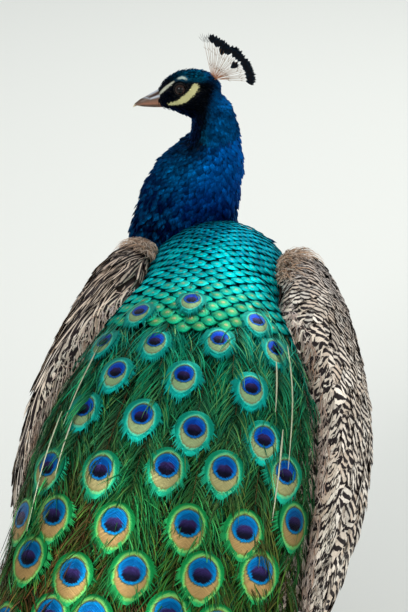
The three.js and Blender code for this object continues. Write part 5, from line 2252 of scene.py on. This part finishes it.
        # painted shade: each strand darkens towards its root, under the tuft
        tone = tone[:, None] * np.linspace(0.45, 1.1, rows)[None, :, None]
        tone = opaque(tone)[:, :, None]
        u = np.linspace(-1, 1, 2)
        vane = packed(u, v[None, :, None], luck[:, None, None])
        sheets = Sheets()
        place = on_map(s, t, 0.02)
        sheets.add(points, vane, tone, patches(place, 0.003, rows, 2))
        finish = BarbFinish(f"Shoulder down {self.side}", self.effects, roughness=0.8, sheen=0.2)
        sheets.piece(f"wing_down_{self.side}", "wing_plumage", [finish.material()])

    def build(self) -> None:
        """Make the wing's pieces."""
        patch = self.patch()
        self.coverts(patch)
        self.down(patch)
        self.primaries()


# ---------------------------------------------------------------- tail
TAIL_LINE = (
    # the tail's middle line from the rump to the end: place and half width of the fan
    (0, -246, 368, 30), (-4, -330, 278, 58), (-14, -420, 166, 84), (-22, -500, 78, 96), (-26, -530, 50, 84),
)


@dataclass
class Tail:
    """The short brown tail that props the train from below."""

    datum: Datum
    effects: Effects
    count: int = 16
    half: float = 17.0

    def build(self) -> None:
        """Fan the tail feathers."""
        line = Spline(TAIL_LINE)
        rows, cols = 16, 7
        v = np.linspace(0, 1, rows)
        sheets = Sheets()
        for k in range(self.count):
            share = 2 * k / (self.count - 1) - 1
            knots = line(v * line.length * (1 - 0.08 * share**2))
            along = unit(np.gradient(knots[:, :3], axis=0))
            up = unit(np.cross(along, [1.0, 0, 0]))
            aside = np.array([1.0, 0, 0]) * (share * 0.82 * knots[:, 3:4])
            spine = knots[:, :3] + aside + up * (1.2 * math.cos(k * 2.4) - 6 * share**2 * v[:, None])
            half = self.half * np.interp(v, [0, 0.3, 0.8, 0.95, 1], [0.4, 0.85, 1.0, 0.75, 0.4])
            points = ribbon(self.datum.place(spine)[None], up[None], half[None] * MM, cols, cup=0.12)
            u = np.linspace(-1, 1, cols)
            along_mm = v[None, :, None] * line.length * 0.45
            vane = packed(u * self.half, along_mm, 0.37 * k % 1)
            tone = np.array([[*(Tone.BUFF.rgb * 0.6), 0.52]])
            place = np.array([[0.04 + 0.92 * k / (self.count - 1), 0.5]])
            sheets.add(points, vane, tone, patches(place, 0.05, rows, cols))
        finish = BarredFinish("Tail feathers", self.effects, roughness=0.6, dark=Tone.UMBER)
        piece = sheets.piece("tail_feathers", "tail_plumage", [finish.material()])
        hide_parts("tail")


# ---------------------------------------------------------------- head
@dataclass
class Crest:
    """A fan of bare quills over the crown, each ending in a small dark fan of barbs."""

    datum: Datum
    effects: Effects
    quills: int = 30
    length: float = 36.5
    spread: float = 106.0
    lean: float = 43.0
    root: tuple[float, float, float] = (0.0, -27.0, 17.0)
    fan: int = 15
    plume: float = 9.5

    def build(self) -> None:
        """Make the crest."""
        rng = np.random.default_rng(41)
        sheets = Sheets()
        for k in range(self.quills):
            share = k / (self.quills - 1) - 0.5
            back = math.radians(self.lean + share * self.spread + rng.normal(0, 0.6))
            sway = math.radians(rng.normal(0, 2.5))
            way = np.array([math.sin(sway), -math.sin(back), math.cos(back)])
            way = unit(way)
            root = np.array(self.root) + np.array([rng.normal(0, 1.0), 3.0 * -share, 0.5 * share])
            long = self.length * rng.uniform(0.98, 1.02) * (1 + 0.27 * ease(-0.15, -0.5, np.array(share)))
            long *= {8: 0.82, 18: 0.70}.get(k, 1.0)
            self.quill(sheets, root, way, long, rng.random(), self.fan if k > 2 else 5)
        finish = BarbFinish("Crest", self.effects, roughness=0.45, metallic=0.2)
        piece = sheets.piece("crest_feathers", "crest", [finish.material()])
        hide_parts("crest")

    def quill(self, sheets: Sheets, root: Array, way: Array, long: float, luck: float, fan: int) -> None:
        """Add one quill with its short side barbs and its fan."""
        v = np.linspace(0, 1, 9)
        bow = np.array([0.0, -1.0, 0.2]) * (2.2 * (v**2) * (luck - 0.3))[:, None]
        path = root + way * (long * v)[:, None] + bow
        side = np.array([1.0, 0.0, 0.0])
        size = np.interp(v, [0, 0.06, 0.9, 1], [0.5, 0.28, 0.18, 0.05]) * MM
        points = tube(self.datum.on_head(path), self.datum.head_turn() @ side, size, size, around=5)
        warm = blend(tint(196, 140, 108)[None], tint(150, 116, 86), ease(0, 0.6, v))
        shade = opaque(warm)
        vane = np.zeros(3) + np.array([0.0, 0.0, luck])
        place = np.array([[0.1 + 0.8 * luck, 0.2]])
        sheets.add(points, vane, shade[None, :, None], patches(place, 0.01, 9, 5), closed=True)
        self.barbs(sheets, path, way, luck, fan)

    def barbs(self, sheets: Sheets, path: Array, way: Array, luck: float, fan: int) -> None:
        """Add the fan at the quill's end and wisps along it.

        Args:
            sheets: Where the barbs go.
            path: The quill's points in millimetres on the head.
            way: The direction at its end.
            luck: A chance number for the quill.
            fan: How many barbs the fan has.
        """
        rows = 5
        w = np.linspace(0, 1, rows)
        plane = unit(np.cross([1.0, 0.0, 0.0], way))
        up = self.datum.head_turn() @ np.cross(plane, way)
        across = np.linspace(-1, 1, fan)
        turns = across * math.radians(40)
        starts = path[-1] - way * (2.0 * np.abs(across))[:, None]
        ragged = 0.95 + 0.1 * np.sin(np.arange(fan) * 5.1 + 40 * luck)
        lengths = self.plume * ragged
        curl = turns[:, None] * (1 - 0.25 * w)
        ahead = lengths[:, None] * w * np.cos(curl)
        aside = lengths[:, None] * w * np.sin(curl)
        spine = starts[:, None] + way * ahead[..., None] + plane * aside[..., None]
        thick = np.full((fan, 1), 1.0 if fan > 5 else 0.3)
        half = np.interp(w, [0, 0.5, 0.9, 1], [0.3, 0.5, 0.44, 0.2])[None] * MM * thick
        points = ribbon(self.datum.on_head(spine), up[None, None], half, 3, cup=0.3)
        base = blend(tint(4, 30, 44)[None], tint(4, 6, 14), ease(0.0, 0.3, w))
        base = blend(base, tint(0, 40, 60), ease(0.8, 1.0, w) * 0.4)
        tone = opaque(base)[None, :, None]
        u = np.linspace(-1, 1, 3)
        vane = packed(u, w[None, :, None], luck)
        place = np.tile([[0.1 + 0.8 * luck, 0.8]], (fan, 1))
        sheets.add(points, vane, tone, patches(place, 0.01, rows, 3))
        count = 2
        v = np.linspace(0.3, 0.7, count) + 0.1 * luck
        start = path[0] + (path[-1] - path[0]) * v[:, None]
        turn = np.where(np.arange(count) % 2 == 0, 1.0, -1.0) * 0.55
        w = np.linspace(0, 1, 3)
        spine = start[:, None] + 4.2 * w[None, :, None] * (
            way * np.cos(turn)[:, None, None] + plane * np.sin(turn)[:, None, None])
        half = np.array([0.22, 0.16, 0.05])[None] * MM * np.ones((count, 1))
        points = ribbon(self.datum.on_head(spine), up[None, None], half, 2)
        tone = np.array([[*linear(132, 106, 80), 1.0]])
        sheets.add(points, np.array([0.0, 0.5, luck]), tone,
                   patches(np.tile(place[:1], (count, 1)), 0.004, 3, 2))


@dataclass
class Head:
    """The bill with its nostrils, and the eyes in their lids."""

    datum: Datum
    effects: Effects
    base: float = 32.0
    length: float = 36.0
    width: float = 15.0
    depth: float = 15.0
    line: float = -8.5
    ball: float = 8.0

    def horn(self, name: str, points: Array, vane: Array, tone: Array) -> bpy.types.Object:
        """Make one horny tube."""
        rows, cols = points.shape[1:3]
        sheets = Sheets()
        sheets.add(points, vane, tone, sheet_map(rows, cols), closed=True)
        finish = HornFinish(name.replace("_", " ").title(), self.effects, roughness=0.34, bump=0.25,
                            depth=0.2, coat=0.15, grain=420.0)
        return sheets.piece(name, "horn", [finish.material()], weld=True)

    def upper_bill(self) -> None:
        """The upper bill: arched ridge, swollen nostril cover, slot and hooked tip."""
        rows, around = 40, 40
        v = np.linspace(0, 1, rows)
        drop = np.interp(v, [0, 0.35, 0.7, 0.88, 1], [0, 0, 0.5, 1.8, 4.3])
        half = self.width * np.interp(v, [0, 0.2, 0.35, 0.7, 0.9, 1], [0.5, 0.46, 0.4, 0.24, 0.12, 0.03])
        high = self.depth * np.interp(v, [0, 0.12, 0.3, 0.5, 0.7, 0.88, 1],
                                      [1.18, 1.13, 0.9, 0.64, 0.42, 0.2, 0.03])
        low = np.interp(v, [0, 0.9, 1], [0.4, 0.5, 0.1])
        half[[0, -1]], high[[0, -1]], low[[0, -1]] = 0.01, 0.01, 0.01
        path = np.stack([0 * v, self.base + self.length * v, self.line - drop], -1)
        points = tube(path, (1.0, 0, 0), half, high, low, around)
        a = np.linspace(0, 2 * math.pi, around, endpoint=False)
        side = np.abs(np.cos(a))[None, :]
        rise = np.sin(a)[None, :]
        v_grid = v[:, None]
        slot = np.exp(-(((v_grid - 0.30) / 0.17) ** 4 + ((rise - 0.80) / 0.08) ** 2))
        cover = np.exp(-(((v_grid - 0.24) / 0.2) ** 2 + ((rise - 0.6) / 0.2) ** 2))
        push = (0.7 * cover - 1.7 * slot) * (side > 0.1)
        middle = points.mean(axis=2, keepdims=True)
        points = points + unit(points - middle) * push[None, :, :, None]
        # painted highlight: a pale band along the top of the ridge near its base
        ridge = ease(0.90, 0.96, rise) * ease(0.6, 0.35, v_grid)
        height = 0.60 + 0.34 * ease(0.36, 0.62, v_grid)
        seam = np.exp(-(((rise - height) / 0.065) ** 2)) * ease(0.7, 0.5, v_grid)
        tone = blend(Tone.HORN.rgb[None, None], Tone.HORN.rgb * 0.6,
                     ease(0.6, 0.9, rise) * ease(0.4, 0.6, v_grid))
        # the seam below the slot is pale horn; the pale ridge band is the painted highlight
        tone = blend(tone, Tone.HORN_PALE_AND_HIGHLIGHT.rgb, np.maximum(ridge * 0.85, seam * 0.9))
        tone = blend(tone, Tone.HORN_TIP.rgb, ease(0.86, 0.98, v_grid + 0 * rise))
        tone = blend(tone, Tone.GAPE.rgb, ease(0.5, 0.05, rise) * ease(0.95, 0.6, v_grid) * 0.8)
        # painted shade: the nostril slot goes dark inside its recess
        tone = blend(tone, tint(34, 16, 14), np.clip(slot * 1.4, 0, 1))
        tone = opaque(tone)[None]
        vane = packed(rise * 3, v_grid * 4, 0.4)[None]
        piece = self.horn("upper_bill", self.datum.on_head(points[0])[None], vane, tone)
        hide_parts("bill_upper")

    def lower_bill(self) -> None:
        """The lower bill, inside the upper one's edge."""
        rows, around = 30, 28
        v = np.linspace(0, 1, rows)
        half = self.width * np.interp(v, [0, 0.4, 0.75, 0.95, 1], [0.36, 0.31, 0.2, 0.08, 0.02])
        low = self.depth * np.interp(v, [0, 0.4, 0.75, 0.95, 1], [0.3, 0.27, 0.16, 0.07, 0.02])
        high = np.full(rows, 0.3)
        half[[0, -1]], high[[0, -1]], low[[0, -1]] = 0.01, 0.01, 0.01
        drop = np.interp(v, [0, 0.4, 1], [0.8, 0.8, 2.0])
        path = np.stack([0 * v, self.base + 0.86 * self.length * v, self.line - drop], -1)
        points = tube(path, (1.0, 0, 0), half, high, low, around)
        tone = blend(Tone.HORN.rgb[None] * 0.9, Tone.HORN_TIP.rgb * 0.8, ease(0.8, 1.0, v))
        tone = blend(tone, Tone.GAPE.rgb, ease(0.3, 0.0, v) * 0.7)
        tone = opaque(tone)[None, :, None]
        a = np.linspace(0, 3, around)
        vane = packed(a, v[None, :, None] * 4, 0.7)
        piece = self.horn("lower_bill", self.datum.on_head(points[0])[None], vane, tone)
        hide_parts("bill_lower")

    def eye_axes(self, sign: int) -> tuple[Array, Array, Array, Array]:
        """The eye's centre, its outward axis, forward axis and upward axis, in the head's axes."""
        centre = np.array([sign * self.datum.eye_aside, *self.datum.eye_middle[1:]])
        out = unit(np.array([sign * 1.0, 0.10, 0.18]))
        ahead = unit(np.array([0.0, 1.0, 0.0]) - out * out[1])
        return centre, out, ahead, np.cross(out, ahead) * sign

    def eyeball(self, side: str) -> None:
        """A ball whose pole is the pupil, with a slight corneal bulge."""
        sign = SIDES[side]
        centre, out, ahead, up = self.eye_axes(sign)
        rows, around = 26, 36
        angle = np.linspace(0.0, math.pi, rows)
        radius = self.ball * (1 + 0.05 * ease(0.75, 0.2, angle)) * 0.985
        a = np.linspace(0, 2 * math.pi, around, endpoint=False)
        ring = np.cos(a)[:, None] * ahead + np.sin(a)[:, None] * up * sign
        points = centre + (radius * np.cos(angle))[:, None, None] * out
        points = points + (radius * np.maximum(np.sin(angle), 1e-3))[:, None, None] * ring
        vane = packed(a / 2, angle[:, None], 0.0)[None]
        sheets = Sheets()
        sheets.add(self.datum.on_head(points)[None], vane, np.ones((1, 4)), sheet_map(rows, around),
                   closed=True)
        finish = EyeFinish(f"Eye {side}", self.effects, roughness=0.12, coat=0.16)
        piece = sheets.piece(f"eyeball_{side}", "eye", [finish.material()], weld=True)
        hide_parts(f"eye_{side}")

    def lids(self, side: str) -> None:
        """Two folded rims round the eye, the inner one dark and the outer one soft."""
        sign = SIDES[side]
        centre, out, ahead, up = self.eye_axes(sign)
        around, rows = 56, 9
        a = np.linspace(0, 2 * math.pi, around, endpoint=False)
        open_angle = np.radians(52 + 7 * np.abs(np.cos(a)) ** 1.5 - 3 * (np.sin(a) > 0))
        ring = np.cos(a)[:, None] * ahead + np.sin(a)[:, None] * up * sign
        profile = np.array([(0.2, -4), (0.75, -1.5), (1.0, 1.5), (0.72, 5), (0.25, 8), (0.55, 12), (0.75, 16),
                            (0.35, 21), (-0.9, 27)])
        turn = open_angle[None] + np.radians(profile[:, 1])[:, None]
        reach = self.ball + profile[:, 0][:, None] + 0 * turn
        points = centre + (reach * np.cos(turn))[..., None] * out
        points = points + (reach * np.sin(turn))[..., None] * ring[None]
        # painted light and shade: each row is lighter where the rims stand out and darker in the crease
        # between them
        shade = np.array([(6, 5, 6), (10, 9, 10), (16, 15, 17), (10, 9, 10), (6, 6, 7), (10, 10, 12),
                          (9, 9, 11), (7, 7, 9), (5, 5, 8)])
        tone = np.array([linear(*c) for c in shade])
        tone = opaque(tone)[None, :, None]
        vane = packed(a[None] * 3, np.linspace(0, 1, rows)[:, None], 0.2)[None]
        sheets = Sheets()
        sheets.add(self.datum.on_head(points)[None], vane, tone, sheet_map(rows, around), closed=True)
        finish = HornFinish(f"Lids {side}", self.effects, roughness=0.55, bump=0.5, depth=0.2,
                            grain=900.0, lines=0.3)
        sheets.piece(f"lids_{side}", "neck_plumage", [finish.material()], weld=True)

    def build(self) -> None:
        """Make the head's pieces."""
        self.upper_bill()
        self.lower_bill()
        for side in SIDES:
            self.eyeball(side)
            self.lids(side)


# ---------------------------------------------------------------- legs
@dataclass
class Leg:
    """One scaly leg: shank with its scutes, toes with pads, claws and spur."""

    side: str
    datum: Datum
    effects: Effects
    hip: tuple[float, float, float] = (52.0, 10.0, 335.0)
    ankle: tuple[float, float, float] = (56.0, -40.0, 160.0)
    foot: tuple[float, float, float] = (60.0, 12.0, 14.0)
    stride: float = 14.0
    shank: float = 6.4
    toe_lengths: tuple[float, ...] = (58.0, 76.0, 60.0, 28.0)
    splay: tuple[float, ...] = (-34.0, 2.0, 36.0)
    toe_radius: float = 7.0
    claw: float = 13.0
    spur: float = 22.0

    @property
    def sign(self) -> int:
        """+1 for the right leg and -1 for the left."""
        return SIDES[self.side]

    def moved(self, point: Sequence[float], share: float) -> Array:
        """A point of this leg, moved by a share of the stride."""
        x, y, z = point
        return np.array([self.sign * x, y - self.sign * self.stride * share, z])

    def add(self, sheets: Sheets, path: Array, side: Array, half: Array, high: Array, low: Array | None,
            tone: Array, around: int, spot: float, ridges: float = 0.0, count: float = 0.0) -> None:
        """Add one tube with its ends closed and, where wanted, scutes stepped along its front."""
        half, high = half.copy(), high.copy()
        low = high.copy() if low is None else low.copy()
        points = tube(path, side, half, high, low, around)
        rows = len(path)
        v = np.linspace(0, 1, rows)
        a = np.linspace(0, 2 * math.pi, around, endpoint=False)
        if ridges:
            step = (v[:, None] * count) % 1.0
            edge = ridges * (0.5 - np.abs(step - 0.12) ** 0.5) * np.clip(0.35 + np.sin(a)[None], 0, 1)
            middle = points.mean(axis=2, keepdims=True)
            points = points + unit(points - middle) * edge[None, :, :, None]
        ends = points.mean(axis=2, keepdims=True)
        points[:, 0], points[:, -1] = ends[:, 0], ends[:, -1]
        points[..., 2] = np.maximum(points[..., 2], 0.15)
        if tone.ndim == 1:
            tone = np.broadcast_to(tone, (rows, 3))
        dark = 0.72 + 0.28 * ease(0.0, 0.25, (v * max(count, 1)) % 1.0) if ridges else np.ones(rows)
        tone = opaque(tone * dark[:, None])[None, :, None]
        vane = packed(a[None], v[:, None] * 5, spot)[None]
        t, s = np.meshgrid(np.linspace(0, 0.09, around), np.linspace(0.02, 0.98, rows))
        sheets.add(self.datum.place(points[0])[None], vane, tone, np.stack([t + spot, s], -1)[None],
                   closed=True)

    def horn(self, name: str) -> bpy.types.Material:
        """The finish of scutes and claws."""
        return HornFinish(name, self.effects, roughness=0.5, bump=0.5, depth=0.3, grain=300.0).material()

    def shin(self) -> None:
        """The shank with overlapping scutes down its front."""
        r = self.shank
        hip, ankle, foot = self.moved(self.hip, 0), self.moved(self.ankle, 0.6), self.moved(self.foot, 1)
        knots = [
            [*(hip + (ankle - hip) * 0.93), r, r + 1], [*ankle, r + 1.5, r + 4],
            [*(ankle + (foot - ankle) * 0.12), r + 0.5, r + 2],
            [*(ankle + (foot - ankle) * 0.5), r - 0.6, r + 0.4],
            [*(ankle + (foot - ankle) * 0.88), r, r + 1], [*foot, r + 1.5, r + 2.5],
        ]
        rows = Spline(knots).evenly(150)
        sheets = Sheets()
        self.add(sheets, rows[:, :3], (1.0, 0, 0), rows[:, 3], rows[:, 4], None, Tone.SCUTE.rgb, 24, 0.02,
                 ridges=1.5, count=22)
        root = foot + (ankle - foot) * 0.4 + np.array([-self.sign * 2, -3, 0])
        way = unit(np.array([-self.sign * 0.45, -1, 0.12])) * self.spur
        bend = root + way * 0.55 + np.array([0, 0, -1])
        horn = Spline([[*root, 4.2], [*bend, 2.4], [*(root + way), 0.4]]).evenly(16)
        tone = blend(Tone.SCUTE_DARK.rgb[None], Tone.HORN_TIP.rgb, np.linspace(0, 0.6, 16))
        self.add(sheets, horn[:, :3], (0.0, 0, 1.0), horn[:, 3], horn[:, 3], None, tone, 14, 0.2)
        piece = sheets.piece(f"leg_{self.side}", "leg_skin", [self.horn(f"Leg {self.side}")], weld=True)
        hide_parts(f"shank_{self.side}", f"spur_{self.side}")

    def toes(self) -> None:
        """The toes, each with joints, scutes and a claw."""
        foot = self.moved(self.foot, 1)
        turns = [math.radians(-self.sign * a) for a in self.splay] + [math.pi + math.radians(self.sign * 14)]
        sheets, claws = Sheets(), Sheets()
        for k, (length, turn) in enumerate(zip(self.toe_lengths, turns)):
            r = self.toe_radius * (0.72 if k == 3 else 1.0)
            ahead = np.array([-math.sin(turn), math.cos(turn), 0.0])
            side = np.array([math.cos(turn), math.sin(turn), 0.0])
            v = np.linspace(0, 1, 64)
            joints = 0.06 * np.cos(v * 2 * math.pi * (2 if k == 3 else 3.2))
            size = r * (np.interp(v, [0, 0.3, 0.62, 0.9, 1], [1.15, 0.92, 0.86, 0.74, 0.46]) + joints)
            path = foot * [1, 1, 0] + ahead * (v * length)[:, None]
            path[:, 2] = size * 0.8
            self.add(sheets, path, side, size, size, size * 0.8, Tone.SCUTE.rgb, 18, 0.02 + 0.2 * k,
                     ridges=1.0, count=length / 4.5)
            c = np.linspace(0, 1, 12)
            out = length - 3 + (self.claw + 3) * c
            path = foot * [1, 1, 0] + ahead * out[:, None]
            path[:, 2] = r * np.interp(c, [0, 0.5, 0.85, 1], [0.62, 0.62, 0.36, 0.1])
            half = r * np.interp(c, [0, 0.5, 0.85, 1], [0.42, 0.34, 0.18, 0.05])
            tone = blend(Tone.HORN.rgb[None] * 0.7, Tone.HORN_PALE_AND_HIGHLIGHT.rgb, c * 0.6)
            self.add(claws, path, side, half, half, None, tone, 12, 0.02 + 0.2 * k)
        names = [f"claw_{self.side}_{toe}" for toe in ("inner", "middle", "outer", "hind")]
        piece = sheets.piece(f"toes_{self.side}", "leg_skin", [self.horn(f"Toes {self.side}")], weld=True)
        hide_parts(f"foot_{self.side}")
        piece = claws.piece(f"claws_{self.side}", "horn", [self.horn(f"Claws {self.side}")], weld=True)
        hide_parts(*names)

    def build(self) -> None:
        """Make the leg's pieces."""
        self.shin()
        self.toes()


# ---------------------------------------------------------------- studio
LAMPS = (
    # name, place in metres, size and power in watts
    ("key", (-1.6, -2.2, 2.8), 1.8, 70.0),
    ("fill", (2.4, -1.2, 1.9), 2.2, 28.0),
    ("back", (0.6, 2.6, 2.6), 2.0, 45.0),
)


@dataclass
class Studio:
    """A plain pale floor, soft light at a plain level and the camera."""

    datum: Datum
    azimuth: float = 8.0
    elevation: float = 27.0
    aim: tuple[float, float, float] = (0, 0.2, 0.35)
    even_light: float = 0.55
    floor_radius: float = 16.0
    floor_drop: float = 0.0006
    stand: tuple[float, float, float] = (299.2, -2175.8, 1566.7)
    lens: float = 127.94

    def camera(self) -> None:
        """Look down over the bird's back from behind."""
        data = bpy.data.cameras.new("camera")
        data.lens = self.lens
        data.sensor_width = 36.0
        data.sensor_fit = "AUTO"
        data.clip_end = 60.0
        camera = bpy.data.objects.new("camera", data)
        a, e = math.radians(self.azimuth), math.radians(self.elevation)
        back = Vector((math.sin(a) * math.cos(e), -math.cos(a) * math.cos(e), math.sin(e)))
        camera.location = Vector(self.datum.place(self.stand))
        camera.rotation_mode = "QUATERNION"
        camera.rotation_quaternion = (-back).to_track_quat("-Z", "Y")
        bpy.context.scene.collection.objects.link(camera)
        bpy.context.scene.camera = camera

    def lamp(self, name: str, place: Sequence[float], size: float, power: float) -> None:
        """Add one soft lamp aimed at the bird's middle, in metres from the floor under it."""
        data = bpy.data.lights.new(name, "AREA")
        data.size = size
        data.energy = power
        lamp = bpy.data.objects.new(name, data)
        spot = Vector(place)
        lamp.location = spot
        lamp.rotation_mode = "QUATERNION"
        lamp.rotation_quaternion = (Vector(self.aim) - spot).to_track_quat("-Z", "Y")
        bpy.context.scene.collection.objects.link(lamp)

    def surroundings(self) -> None:
        """Light the world evenly and show it pale behind the bird."""
        world = bpy.data.worlds.new("studio")
        world.use_nodes = True
        g = Graph(world.node_tree)
        even = world.node_tree.nodes["Background"]
        even.inputs["Color"].default_value = (0.92, 0.96, 1.0, 1.0)
        even.inputs["Strength"].default_value = self.even_light
        seen = g.node("ShaderNodeBackground")
        seen.inputs["Color"].default_value = (0.60, 0.62, 0.60, 1.0)
        pick = g.node("ShaderNodeMixShader")
        path = g.node("ShaderNodeLightPath").outputs
        mirrored = g.math("MAXIMUM", path["Is Glossy Ray"], path["Is Transmission Ray"])
        g.feed(pick.inputs[0], g.math("MAXIMUM", path["Is Camera Ray"], mirrored))
        g.feed(pick.inputs[1], even.outputs[0])
        g.feed(pick.inputs[2], seen.outputs[0])
        g.feed(world.node_tree.nodes["World Output"].inputs[0], pick.outputs[0])
        bpy.context.scene.world = world

    def floor(self) -> None:
        """Lay a wide round floor."""
        edit = bmesh.new()
        bmesh.ops.create_circle(edit, cap_ends=True, segments=96, radius=self.floor_radius)
        mesh = bpy.data.meshes.new("floor")
        edit.to_mesh(mesh)
        edit.free()
        material = bpy.data.materials.new("Floor")
        material.use_nodes = True
        shader = material.node_tree.nodes["Principled BSDF"]
        g = Graph(material.node_tree)
        away = g.node("ShaderNodeVectorMath", operation="LENGTH")
        g.feed(away.inputs[0], g.node("ShaderNodeTexCoord").outputs["Object"])
        pale = g.mix(g.rise(away.outputs["Value"], 3.0, 7.0), (0.78, 0.79, 0.74, 1.0),
                     (0.96, 0.96, 0.92, 1.0))
        g.feed(shader.inputs["Base Color"], pale)
        glow = g.mix(g.rise(away.outputs["Value"], 3.0, 9.0), (0.0, 0.0, 0.0, 1.0), (0.10, 0.11, 0.09, 1.0))
        g.feed(shader.inputs["Emission Color"], glow)
        shader.inputs["Emission Strength"].default_value = 1.0
        shader.inputs["Roughness"].default_value = 0.9
        mesh.materials.append(material)
        floor = bpy.data.objects.new("floor", mesh)
        floor.location.z = -self.floor_drop
        bpy.context.scene.collection.objects.link(floor)
        floor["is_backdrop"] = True

    def build(self) -> None:
        """Set the studio up."""
        view = bpy.context.scene.view_settings
        view.view_transform = "Standard"
        self.surroundings()
        self.floor()
        for name, place, size, power in LAMPS:
            self.lamp(name, place, size, power)
        self.camera()


def corners(box: tuple[Vector, Vector]) -> list[list[float]]:
    """A box as plain lists."""
    return [list(map(float, corner)) for corner in box]


def main() -> None:
    """Build the bird in order, report each piece and work out both boxes."""
    logging.basicConfig(level=logging.INFO, format="%(name)s: %(message)s")
    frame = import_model()
    cad_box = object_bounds()
    nodes = frame["nodes"]
    datum = Datum.from_frame()
    log.info("origin at %s", np.round(datum.origin, 5).tolist())
    Studio(datum).build()
    effects = Effects()
    train = Train(datum, effects)
    roof = Roof(train.patch())
    skin = Skin(datum, nodes, effects, roof).build()
    Plumage(datum, effects).build(skin)
    Mantle(datum, nodes, effects).build()
    train.build()
    styles = {
        "right": WingStyle(flare=3.0, lean=22.0),
        "left": WingStyle(flare=-8.0, lean=-13.0, narrow=0.5, longer=1.6, stray=7.0, roll=0.5, rise=0.09,
                          streaky=0.95, dark=0.60, brown=0.6, seed=37, pitch=(6.5, 8.0, 11.0), downy=0.12),
    }
    for side, style in styles.items():
        Wing(side, datum, nodes, effects, roof, style).build()
    Tail(datum, effects).build()
    Crest(datum, effects).build()
    Head(datum, effects).build()
    for side in SIDES:
        Leg(side, datum, effects).build()
    {"cad": corners(cad_box), "visual": corners(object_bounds())}


if __name__ == "__main__":
    main()
